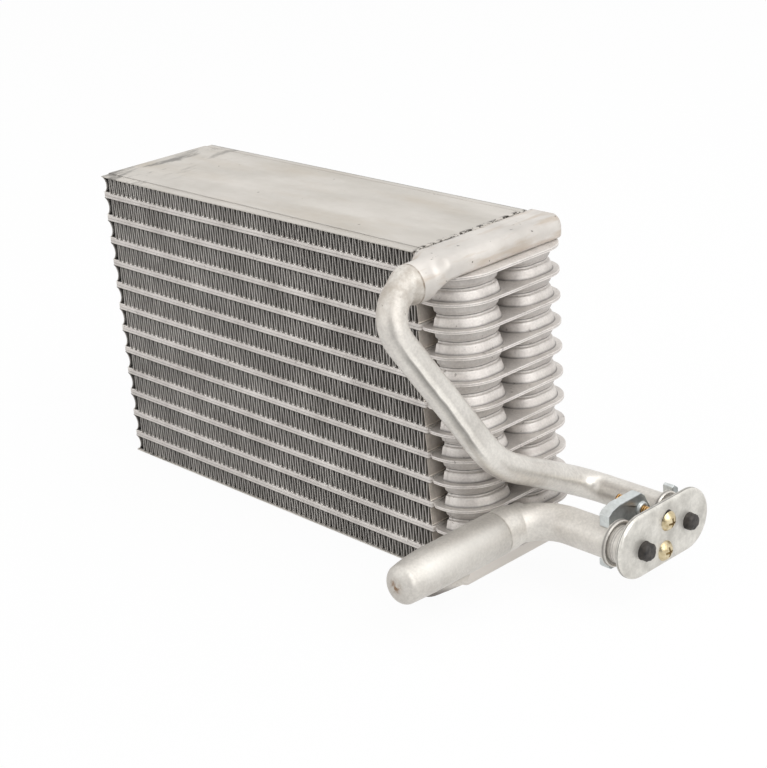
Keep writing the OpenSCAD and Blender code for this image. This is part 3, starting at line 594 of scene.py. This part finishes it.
def mesh_object(name, verts, faces, material, sharp=35):
    """A mesh piece, smooth but for edges sharper than that angle."""
    mesh = bpy.data.meshes.new(name)
    mesh.from_pydata([tuple(v) for v in verts], [], faces)
    mesh.validate()
    mesh.shade_smooth()
    mesh.set_sharp_from_angle(angle=math.radians(sharp))
    mesh.materials.append(material)
    piece = bpy.data.objects.new(name, mesh)
    bpy.context.scene.collection.objects.link(piece)
    return piece


class Shell:
    """Vertices and faces of a piece that is made of several closed lofts."""

    def __init__(self):
        self.verts = []
        self.faces = []

    def loft(self, rings):
        """Joins rings of equal length, and closes both ends."""
        first = len(self.verts)
        count = len(rings[0])
        for ring in rings:
            self.verts.extend(ring)
        for k in range(len(rings) - 1):
            a = first + k * count
            for i in range(count):
                j = (i + 1) % count
                self.faces.append((a + i, a + j, a + count + j, a + count + i))
        last = first + (len(rings) - 1) * count
        self.faces.append(tuple(reversed(range(first, first + count))))
        self.faces.append(tuple(range(last, last + count)))

    def mirrored_z(self):
        """The same shell upside down."""
        other = Shell()
        other.verts = [Vector((v[0], v[1], -v[2])) for v in self.verts]
        other.faces = [tuple(reversed(f)) for f in self.faces]
        return other


def rounded(x1, x2, y1, y2, radii, steps):
    """Outline of a box seen from above, counter-clockwise, with four corner radii from (x1, y1) on."""
    centres = ((x1, y1, 1, 1), (x2, y1, -1, 1), (x2, y2, -1, -1), (x1, y2, 1, -1))
    points = []
    for k, ((x, y, sx, sy), r, n) in enumerate(zip(centres, radii, steps)):
        cx, cy = x + sx * r, y + sy * r
        for i in range(n + 1):
            a = math.radians(180 + 90 * k + 90 * i / n)
            points.append((cx + r * math.cos(a), cy + r * math.sin(a)))
    return points


def box_rings(x1, x2, y1, y2, radii, steps, profile):
    """Rings of a rounded box, one for each (inset, height) of the profile."""
    rings = []
    for inset, z in profile:
        shrunk = [max(r - inset, 0.05 * MM) for r in radii]
        outline = rounded(x1 + inset, x2 - inset, y1 + inset, y2 - inset, shrunk, steps)
        rings.append([Vector((x, y, z)) for x, y in outline])
    return rings


# Profiles of the tube plates, as inset and height over the seam in mm
# Cup wall: a soft foot, a leaning wall and a rolled top edge
CUP_PROFILE = [(-0.7, 0.66), (-0.45, 0.74), (-0.24, 0.9), (-0.08, 1.15), (0.1, 1.55), (0.3, 2.1),
               (0.5, 2.8), (0.7, 3.5), (0.88, 4.1), (1.1, 4.5), (1.45, 4.72), (1.8, 4.84), (1.95, 5.0),
               (2.0, 5.3), (2.05, 5.6), (2.3, 5.73), (3.2, 5.745)]
EDGE_PROFILE = [(0.4, 0.0), (0.16, 0.0), (0.04, 0.09), (0.0, 0.22), (0.0, 0.5), (0.06, 0.63), (0.2, 0.7),
                (0.5, 0.7)]
BAR_PROFILE = [(0.4, 0.0), (0.16, 0.0), (0.03, 0.1), (0.0, 0.24), (0.0, 0.9), (0.1, 1.17), (0.3, 1.33),
               (0.6, 1.35)]
NECK_PROFILE = [(0, 0.05), (0, 0.68)]
WAY_PROFILE = [(0, 0.3), (0, 0.9), (0.3, 1.25), (0.7, 1.35)]


def in_mm(profile):
    return [(inset * MM, z * MM) for inset, z in profile]


def plate_shell(cups):
    """One stamped tube plate, its seam at z = 0 and its cups standing up."""
    shell = Shell()
    shell.loft(box_rings(x_left, x_fin_end + bar_reach, y_front, y_back,
                         [bar_tip_r, bar_end_r, bar_end_r, bar_tip_r], (6, 5, 5, 6), in_mm(BAR_PROFILE)))
    flange_start = x_fin_end + flange_gap
    shell.loft(box_rings(flange_start, x_flange, y_front, y_back,
                         [flange_inner_r, flange_front_r, flange_back_r, flange_inner_r], (5, 28, 24, 5),
                         in_mm(EDGE_PROFILE)))
    # The neck between the flat tube and the flange
    shell.loft(box_rings(x_fin_end - neck_lap, flange_start + plate_lap, y_front + neck_inset,
                         y_back - neck_inset, [0.5 * MM] * 4, (2, 2, 2, 2), in_mm(NECK_PROFILE)))
    if cups:
        y_mid = cup_gap / 2
        x1, x2 = x_fin_end + cup_setback, x_flange - cup_lip
        front, back = y_front + cup_lip, y_back - cup_lip
        shell.loft(box_rings(x1, x2, front, -y_mid,
                             [cup_inner_r, flange_front_r - cup_lip, cup_corner_r, cup_inner_r],
                             (8, 24, 12, 8), in_mm(CUP_PROFILE)))
        shell.loft(box_rings(x1, x2, y_mid, back,
                             [cup_inner_r, cup_mid_r, flange_back_r - cup_lip, cup_inner_r],
                             (8, 16, 22, 8), in_mm(CUP_PROFILE)))
        # The ways from the flat tube into the cups
        for y1, y2 in ((front, -y_mid), (y_mid, back)):
            shell.loft(box_rings(x_fin_end - neck_lap, x1 + plate_lap, y1 + cup_way_inset,
                                 y2 - cup_way_inset, [1 * MM] * 4, (4, 4, 4, 4), in_mm(WAY_PROFILE)))
    return shell


def tube_plates():
    """Every tube plate in its own place, standing for its node."""
    for number in range(1, TUBES + 1):
        for side in ("upper", "lower"):
            node = f"tube_{number:02d}_{side}"
            low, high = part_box(node)
            cups = high.z - low.z > 3 * MM
            shell = plate_shell(cups)
            seam = low.z
            if side == "lower":
                shell = shell.mirrored_z()
                seam = high.z
            verts = [v + Vector((0, 0, seam)) for v in shell.verts]
            piece = mesh_object(f"plate_{number:02d}_{side}", verts, shell.faces, tube_metal)
            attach(piece, "root")
            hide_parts(node)


def smooth(t):
    """0 at 0 and 1 at 1, with soft ends."""
    return t * t * (3 - 2 * t)


def corners_rounded(points, radius, steps):
    """The open line with its inner corners rounded."""
    made = [points[0]]
    for before, corner, after in zip(points, points[1:], points[2:]):
        to_before, to_after = before - corner, after - corner
        cut = min(radius, 0.48 * to_before.length, 0.48 * to_after.length)
        start = corner + to_before.normalized() * cut
        end = corner + to_after.normalized() * cut
        for i in range(steps + 1):
            t = i / steps
            made.append(start * (1 - t) ** 2 + corner * 2 * t * (1 - t) + end * t * t)
    made.append(points[-1])
    return made


def fin_line(height, row):
    """Middle line of a fin strip in X and Z: the bowed end leg, then its waves with rolled crests."""
    low, high = fin_t / 2, height - fin_t / 2
    bow_r = (height ** 2 / 4 + fin_bow ** 2) / (2 * fin_bow)
    half_angle = math.asin(height / 2 / bow_r)
    tip = x_left + fin_tip
    line = []
    for i in range(13):
        a = half_angle * (1 - i / 6)
        line.append(Vector((tip + fin_bow - bow_r + bow_r * math.cos(a), height / 2 + bow_r * math.sin(a))))
    line[0].y, line[-1].y = high, low
    start = x_left + fin_setback
    pitch = (x_fin_end - start) / FINS_PER_ROW
    leg = pitch / 2 - fin_crest
    corners = [line[-1]]
    for i in range(FINS_PER_ROW):
        for x, z in ((0, low), (fin_crest, low), (fin_crest + leg, high), (pitch - leg, high)):
            shift = noise.noise(Vector((i * 3.7 + x * 900, z * 500, row * 5.3))) * fin_wander
            if i == 0 and x == 0:
                shift = 0
            corners.append(Vector((start + i * pitch + x + shift, z)))
    corners.append(Vector((x_fin_end, low)))
    return line[:-1] + corners_rounded(corners, fin_crest_r, 4)


def fins():
    """The corrugated strips, each standing for its node."""
    for row in range(1, TUBES + 2):
        node = f"fin_{row:02d}"
        low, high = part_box(node)
        line = fin_line(high.z - low.z, row)
        rings = []
        for k, point in enumerate(line):
            ahead = line[min(k + 1, len(line) - 1)] - line[max(k - 1, 0)]
            side = Vector((-ahead.y, ahead.x)).normalized() * (fin_t / 2)
            a, b = point + side, point - side
            rings.append([Vector((a.x, low.y, low.z + a.y)), Vector((b.x, low.y, low.z + b.y)),
                          Vector((b.x, high.y, low.z + b.y)), Vector((a.x, high.y, low.z + a.y))])
        shell = Shell()
        shell.loft(rings)
        piece = mesh_object(f"strip_{row:02d}", shell.verts, shell.faces, fin_metal, 50)
        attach(piece, "root")
        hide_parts(node)


def around(points, centre, count):
    """The outline's points seen from its centre at even angles."""
    polar = sorted((math.atan2(z - centre[1], x - centre[0]), math.hypot(x - centre[0], z - centre[1]))
                   for x, z in points)
    polar = [(polar[-1][0] - math.tau, polar[-1][1])] + polar + [(polar[0][0] + math.tau, polar[0][1])]
    radii = []
    k = 0
    for i in range(count):
        a = -math.pi + math.tau * i / count
        while polar[k + 1][0] < a:
            k += 1
        (a1, r1), (a2, r2) = polar[k], polar[k + 1]
        radii.append(r1 + (r2 - r1) * (a - a1) / max(a2 - a1, 1e-9))
    return radii


def dense(points, step):
    """The closed outline with extra points along its straight runs."""
    made = []
    for i, (x, z) in enumerate(points):
        nx, nz = points[(i + 1) % len(points)]
        parts = max(1, int(math.hypot(nx - x, nz - z) / step))
        made += [(x + (nx - x) * k / parts, z + (nz - z) * k / parts) for k in range(parts)]
    return made


def header_shell(round_r, round_len, round_x, round_z, top, sign):
    """A header: flat over the cups, then turning to a round front end. sign is -1 for the bottom one."""
    count = 96
    z_low = top - sign * header_h
    low_z, high_z = min(top, z_low), max(top, z_low)
    radii = ([header_soft_r, header_low_r, header_edge_r, header_soft_r] if sign > 0
             else [header_soft_r, bottom_edge_r, header_low_r, header_soft_r])
    flat = dense(rounded(header_x, header_x + header_w, low_z, high_z, radii, (6, 14, 14, 6)), 0.4 * MM)
    centre = (header_round_x, (low_z + high_z) / 2)
    flat_r = around(flat, centre, count)

    def ring(y, share, squeeze=1.0, inset=0.0):
        points = []
        for i in range(count):
            a = -math.pi + math.tau * i / count
            fx = centre[0] + (flat_r[i] - inset) * math.cos(a)
            fz = centre[1] + (flat_r[i] - inset) * math.sin(a)
            fx = header_x + (fx - header_x) * squeeze
            r = round_r - inset
            rx = round_x + r * math.cos(a)
            rz = round_z + r * math.sin(a)
            points.append(Vector((fx + (rx - fx) * share, y, fz + (rz - fz) * share)))
        return points

    rings = []
    back = header_back_y
    for inset, off in ((1.0, 0.0), (0.45, 0.08), (0.12, 0.35)):
        rings.append(ring(back - off * MM, 0, 1 - header_corner_r * 0.82 / header_w, inset * MM))
    for i in range(1, 11):
        a = math.radians(90 * i / 10)
        y = back - header_corner_r * (1 - math.cos(a))
        squeeze = 1 - header_corner_r * (1 - math.sin(a)) / header_w
        if y < back - 0.5 * MM:
            rings.append(ring(y, 0, squeeze))
    steps = 24
    for i in range(1, steps):
        rings.append(ring(back - header_corner_r + (y_front - back + header_corner_r) * i / steps, 0))
    blend = 14
    for i in range(blend + 1):
        t = i / blend
        rings.append(ring(y_front + 1.5 * MM - (header_blend_len + 3 * MM) * t, smooth(t)))
    front = y_front - header_blend_len - round_len
    for y, inset in ((front + 0.5 * MM, 0), (front + 0.15 * MM, 0.1), (front, 0.4)):
        rings.append(ring(y, 1, 1, inset * MM))
    shell = Shell()
    shell.loft(rings)
    return shell


def headers():
    """Both headers, the top one and the bottom one upside down."""
    for name, node, round_r, drop, round_x, sign in (
            ("header_top_skin", "top_header", header_round_r, header_drop, header_round_x, 1),
            ("header_bottom_skin", "bottom_header", bottom_round_r, 0, suction_round_x, -1)):
        low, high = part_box(node)
        top = high.z if sign > 0 else low.z
        round_z = top - sign * (round_r + drop)
        round_len = y_front - header_blend_len - low.y
        shell = header_shell(round_r, round_len, round_x, round_z, top, sign)
        piece = mesh_object(name, shell.verts, shell.faces, header_metal, 50)
        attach(piece, "root")
        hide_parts(node)


def turned(shell, profile, centre, count=64):
    """Adds a turned solid that lies along Y: pairs of y and radius, then its ends closed."""
    turns = [math.tau * i / count for i in range(count)]
    shell.loft([[Vector((centre[0] + r * math.cos(a), y, centre[1] + r * math.sin(a))) for a in turns]
                for y, r in profile])


def manifold():
    """The manifold with its flattened spun end and the neck at the joint with the suction pipe."""
    profile = [(manifold_front - 0.4 * MM, 0.3 * MM), (manifold_front - 0.2 * MM, 1.6 * MM)]
    for i in range(13):
        a = math.radians(90 * i / 12)
        profile.append((manifold_front + dome_len * (1 - math.cos(a)),
                        manifold_r - taper - dome_fall * (1 - math.sin(a))))
    for i in range(1, 11):
        t = i / 10
        profile.append((manifold_front + dome_len + taper_len * t, manifold_r - taper * (1 - t) ** 2))
    profile += [(joint_y - 0.6 * MM, manifold_r), (joint_y - 0.4 * MM, manifold_r - joint_groove),
                (joint_y - 0.1 * MM, manifold_r - joint_groove), (neck_y, neck_r)]
    for i in range(1, 13):
        t = i / 12
        profile.append((neck_y + neck_len * t, neck_r - (neck_r - neck_end_r) * smooth(t)))
    profile.append((neck_y + neck_len + 0.2 * MM, neck_end_r - 0.98 * MM))
    shell = Shell()
    turned(shell, profile, (manifold_x, manifold_z))
    for i, (x, y, z) in enumerate(shell.verts):
        t = min(1.0, max(0.0, (y - manifold_front) / (dome_len + taper_len)))
        shell.verts[i] = Vector((x, y, z - manifold_sag * (1 - t) ** 2))
    piece = mesh_object("manifold_skin", shell.verts, shell.faces, manifold_metal, 60)
    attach(piece, "root")
    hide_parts("suction_manifold")


def route(points, bends, step=1.0 * MM):
    """Places and directions along straight lengths that are joined by bends of those radii."""
    made = [(points[0], (points[1] - points[0]).normalized())]
    for before, corner, after, radius in zip(points, points[1:], points[2:], bends):
        along = (corner - before).normalized()
        onward = (after - corner).normalized()
        turn = along.angle(onward)
        inward = (onward - along * onward.dot(along)).normalized()
        start = corner - along * radius * math.tan(turn / 2)
        parts = max(4, int(radius * turn / step))
        for i in range(parts + 1):
            a = turn * i / parts
            place = start + along * radius * math.sin(a) + inward * radius * (1 - math.cos(a))
            made.append((place, along * math.cos(a) + inward * math.sin(a)))
    made.append((points[-1], (points[-1] - points[-2]).normalized()))
    return made


def filled(line, step=0.8 * MM):
    """The line with places added on its straight lengths."""
    made = []
    for (place, heading), (place_on, heading_on) in zip(line, line[1:]):
        parts = max(1, int((place_on - place).length / step))
        made += [(place.lerp(place_on, i / parts), heading.lerp(heading_on, i / parts).normalized())
                 for i in range(parts)]
    return made + [line[-1]]


def swept(shell, line, radius_at, count=48):
    """Adds a round bar along the line, its radius given by the length run so far."""
    turns = [math.tau * i / count for i in range(count)]
    side = line[0][1].orthogonal().normalized()
    rings = []
    run = 0.0
    last = line[0][0]
    for place, heading in line:
        run += (place - last).length
        last = place
        side = (side - heading * side.dot(heading)).normalized()
        other = heading.cross(side)
        r = radius_at(run)
        rings.append([place + (side * math.cos(a) + other * math.sin(a)) * r for a in turns])
    shell.loft(rings)


def cone_to(first_r, last_r, run_out):
    """A radius that falls softly from first_r to last_r over run_out."""
    def radius_at(run):
        return first_r + (last_r - first_r) * smooth(min(1.0, run / run_out))
    return radius_at


def flare():
    """The cone at the end of the liquid pipe where it is brazed to the header."""
    start = Vector((header_round_x, header_front + 0.2 * MM, header_z))
    line = filled(route([start, LIQUID_CORNER, LIQUID_LOW], [LIQUID_BEND_R]), 0.4 * MM)
    near = [entry for entry in line if (entry[0] - start).length < flare_len + 0.5 * MM]
    shell = Shell()
    swept(shell, near, cone_to(flare_r, flare_end_r, flare_len))
    piece = mesh_object("liquid_flare", shell.verts, shell.faces, liquid_metal, 60)
    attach(piece, "root")


def elbow():
    """The elbow from the bottom header up behind the manifold, flared at its braze."""
    corner = Vector((suction_round_x, y_front - elbow_reach, elbow_z))
    start = Vector((suction_round_x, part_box("bottom_header")[0].y + 0.3 * MM, elbow_z))
    end = Vector((manifold_x, corner.y, elbow_end_z))
    shell = Shell()
    swept(shell, filled(route([start, corner, end], [elbow_bend_r])),
          cone_to(elbow_flare_r, elbow_r, elbow_flare_len))
    piece = mesh_object("elbow_skin", shell.verts, shell.faces, elbow_metal, 60)
    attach(piece, "root")
    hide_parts("suction_elbow")


def ring_x(x, centre, r, count):
    """A ring of points around X, at the centre's Y and Z."""
    turns = [math.tau * i / count for i in range(count)]
    return [Vector((x, centre[0] + r * math.cos(a), centre[1] + r * math.sin(a))) for a in turns]


def by_port(offset):
    """Y and Z of a place that is given from the suction port."""
    return SUCTION_PORT.y + offset[0], SUCTION_PORT.z + offset[1]


def painted_slot_shade():
    """A dark disc of painted shade, standing for the shadowed end of the slot that shows over the head of
    the upper screw.
    """
    shell = Shell()
    shell.loft([ring_x(cap_high.x + x * MM, by_port(SLOT_END), slot_end_r - inset * MM, 32)
                for x, inset in ((-0.3, 0.0), (0.03, 0.0), (0.05, 0.2))])
    piece = mesh_object("painted_slot_shade", shell.verts, shell.faces, rubber, 60)
    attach(piece, "root")


def plug_nub(shell, place, radius, seed):
    """A torn rubber nub that stands out of the cap plate."""
    count = 40
    rings = []
    for x, r in NUB_PROFILE:
        ring = []
        for i in range(count):
            a = math.tau * i / count
            torn = noise.noise(Vector((2.2 * math.cos(a), 2.2 * math.sin(a), seed + x * 0.25)))
            swell = r * (1 + 0.16 * torn * min(1, max(0, x + 0.4)))
            lump = Vector((math.cos(a) * r * 3, math.sin(a) * r * 3, seed * 2 + x))
            rough = 0.25 * noise.noise(lump) if x > 0.5 else 0
            ring.append(Vector((cap_high.x + (x + rough) * MM, place[0] + radius * swell * math.cos(a),
                                place[1] + radius * swell * math.sin(a))))
        rings.append(ring)
    shell.loft(rings)


def plug_body(shell, port, bore_r, pipe_r):
    """The part of a plug inside its pipe end, with its collar against the cap plate."""
    snug_r, collar_r = bore_r - 0.2 * MM, pipe_r - 0.1 * MM
    profile = ((-13.8, snug_r - 1.0 * MM), (-12, snug_r), (-1.1, snug_r), (-1.0, collar_r), (-0.1, collar_r))
    shell.loft([ring_x(cap_low.x + x * MM, (port.y, port.z), r, 48) for x, r in profile])


def plugs():
    """Both rubber plugs, torn at their nubs."""
    shell = Shell()
    plug_body(shell, SUCTION_PORT, suction_bore_r, suction_pipe_r)
    plug_body(shell, LIQUID_PORT, liquid_bore_r, liquid_pipe_r)
    plug_nub(shell, by_port(SUCTION_NUB), suction_nub_r, 3.1)
    plug_nub(shell, by_port(LIQUID_NUB), liquid_nub_r, 8.4)
    piece = mesh_object("plug_skins", shell.verts, shell.faces, rubber, 60)
    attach(piece, "root")
    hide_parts("rubber_plugs")


def dress(node, material):
    """Gives a CAD node that stays its material."""
    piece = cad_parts[node]
    piece.data.materials.clear()
    piece.data.materials.append(material)
    return piece


def soften(piece, width):
    """Breaks the sharp edges of a CAD node."""
    weld = piece.modifiers.new("weld", "WELD")
    weld.merge_threshold = 0.002 * MM
    bevel = piece.modifiers.new("bevel", "BEVEL")
    bevel.width = width
    bevel.segments = 2
    bevel.limit_method = "ANGLE"
    bevel.angle_limit = math.radians(40)
    bevel.harden_normals = True


def cad_nodes():
    """Materials and softer edges for the CAD nodes that stay."""
    for node in ("top_end_plate", "bottom_end_plate"):
        soften(dress(node, end_plate_metal), 0.5 * MM)
    dress("liquid_pipe", liquid_metal)
    dress("suction_pipe", pipe_metal)
    soften(dress("clamp_plate", zinc_metal), 0.5 * MM)
    soften(dress("cap_plate", cap_metal), 0.25 * MM)
    dress("screws", yellow_zinc)


# Camera: its place in the part's frame, its direction and roll in degrees, its lens and sensor in mm
CAMERA_PLACE = Vector((602.5, -506.6, 362.6)) * MM
CAMERA_AZIMUTH = 47.67
CAMERA_ELEVATION = 21.75
CAMERA_ROLL = -4.37
CAMERA_LENS = 83.44
SENSOR_W = 36

# Light: strength of the world on matt surfaces, and the point that the soft boxes face
EVEN_LIGHT = 0.68
LIGHT_AIM = Vector((0.02, -0.01, 0.07))
# Soft boxes: name, place, width and height, and power in watts
SOFT_BOXES = (("key", Vector((1.6, -0.3, 1.35)), (2.0, 1.8), 30),
              ("fill", Vector((-0.5, -1.4, 0.8)), (1.2, 0.9), 4),
              ("overhead", Vector((0.1, 0.2, 1.7)), (1.2, 1.0), 4.5))

# Grey card: direction in degrees, distance and size in metres, and tone
CARD_AZIMUTH = 44
CARD_ELEVATION = 22
CARD_FAR = 1.15
CARD_W = 0.62
CARD_H = 1.0
CARD_GREY = 0.1

# Floor: half its width in metres, its gap under the part, its tone and its glow for the rays that see it
FLOOR_HALF = 3.0
FLOOR_GAP = 0.2 * MM
FLOOR_GREY = 0.85
FLOOR_GLOW = 0.95

# Signs of the corners of a flat rectangle, in order
CORNERS = ((-1, -1), (1, -1), (1, 1), (-1, 1))


def outward(azimuth, elevation):
    """Direction away from the part at those angles in degrees."""
    azimuth, elevation = math.radians(azimuth), math.radians(elevation)
    return Vector((math.sin(azimuth) * math.cos(elevation), -math.cos(azimuth) * math.cos(elevation),
                   math.sin(elevation)))


def camera():
    """The camera that the photo was matched with."""
    data = bpy.data.cameras.new("camera")
    data.sensor_fit = "HORIZONTAL"
    data.sensor_width = SENSOR_W
    data.lens = CAMERA_LENS
    made = bpy.data.objects.new("camera", data)
    bpy.context.scene.collection.objects.link(made)
    back = outward(CAMERA_AZIMUTH, CAMERA_ELEVATION)
    right = Vector((0, 0, 1)).cross(back).normalized()
    up = back.cross(right)
    roll = math.radians(CAMERA_ROLL)
    rolled_right = right * math.cos(roll) + up * math.sin(roll)
    rolled_up = up * math.cos(roll) - right * math.sin(roll)
    turn = Matrix((rolled_right, rolled_up, back)).transposed().to_4x4()
    made.matrix_world = Matrix.Translation(CAMERA_PLACE) @ turn
    bpy.context.scene.camera = made


def area_light(name, place, size, power):
    """A soft box that faces the part."""
    data = bpy.data.lights.new(name, "AREA")
    data.shape = "RECTANGLE"
    data.size, data.size_y = size
    data.energy = power
    made = bpy.data.objects.new(name, data)
    made.location = place
    made.rotation_mode = "QUATERNION"
    made.rotation_quaternion = (LIGHT_AIM - place).to_track_quat("-Z", "Y")
    bpy.context.scene.collection.objects.link(made)


def mixed_surface(tree, output, amount, first, second):
    """Gives the output node two shaders mixed by an amount."""
    mix = tree.nodes.new("ShaderNodeMixShader")
    for source, target in zip((amount, first, second), mix.inputs):
        tree.links.new(source, target)
    tree.links.new(mix.outputs[0], output.inputs["Surface"])


def shows_background(tree):
    """1 for the rays that see the background: camera, glossy and transmission rays."""
    path = tree.nodes.new("ShaderNodeLightPath")
    shown = path.outputs["Is Camera Ray"]
    for kind in ("Is Glossy Ray", "Is Transmission Ray"):
        either = tree.nodes.new("ShaderNodeMath")
        either.operation = "MAXIMUM"
        tree.links.new(shown, either.inputs[0])
        tree.links.new(path.outputs[kind], either.inputs[1])
        shown = either.outputs[0]
    return shown


def studio():
    """White surroundings, even light for the matt surfaces, soft boxes and the grey card."""
    world = bpy.data.worlds.new("studio")
    bpy.context.scene.world = world
    world.use_nodes = True
    tree = world.node_tree
    tree.nodes.clear()
    backgrounds = []
    for strength in (EVEN_LIGHT, 1.0):
        background = tree.nodes.new("ShaderNodeBackground")
        background.inputs["Color"].default_value = (1, 1, 1, 1)
        background.inputs["Strength"].default_value = strength
        backgrounds.append(background.outputs[0])
    mixed_surface(tree, tree.nodes.new("ShaderNodeOutputWorld"), shows_background(tree), *backgrounds)
    for name, place, size, power in SOFT_BOXES:
        area_light(name, place, size, power)
    grey_card()


def matt_material(name, grey):
    """A matt grey material, its tree and its shader."""
    material = bpy.data.materials.new(name)
    material.use_nodes = True
    tree = material.node_tree
    shader = tree.nodes["Principled BSDF"]
    shader.inputs["Base Color"].default_value = (grey, grey, grey, 1)
    shader.inputs["Roughness"].default_value = 0.9
    return material, tree, shader


def grey_card():
    """A grey card behind the camera, which gives the metal its darker bands and isn't seen itself."""
    back = outward(CARD_AZIMUTH, CARD_ELEVATION)
    across = Vector((0, 0, 1)).cross(back).normalized() * CARD_W / 2
    upward = back.cross(across).normalized() * CARD_H / 2
    verts = [back * CARD_FAR + a * across + b * upward for a, b in CORNERS]
    material, tree, shader = matt_material("grey_card", CARD_GREY)
    path = tree.nodes.new("ShaderNodeLightPath")
    clear = tree.nodes.new("ShaderNodeBsdfTransparent")
    mixed_surface(tree, tree.nodes["Material Output"], path.outputs["Is Camera Ray"], shader.outputs[0],
                  clear.outputs[0])
    mesh_object("grey_card", verts, [(0, 1, 2, 3)], material)


def floor():
    """A white floor that keeps the part's shadow."""
    verts = [(a * FLOOR_HALF, b * FLOOR_HALF, cad_low.z - FLOOR_GAP) for a, b in CORNERS]
    material, tree, shader = matt_material("floor", FLOOR_GREY)
    shader.inputs["Specular IOR Level"].default_value = 0.0
    glow = tree.nodes.new("ShaderNodeEmission")
    glow.inputs["Color"].default_value = (1, 1, 1, 1)
    share = tree.nodes.new("ShaderNodeMath")
    share.operation = "MULTIPLY"
    share.inputs[1].default_value = FLOOR_GLOW
    tree.links.new(shows_background(tree), share.inputs[0])
    mixed_surface(tree, tree.nodes["Material Output"], share.outputs[0], shader.outputs[0], glow.outputs[0])
    mesh_object("floor", verts, [(0, 1, 2, 3)], material)


camera()
tube_plates()
fins()
headers()
manifold()
flare()
elbow()
plugs()
painted_slot_shade()
cad_nodes()
studio()
floor()
bpy.context.scene.view_settings.view_transform = "Standard"
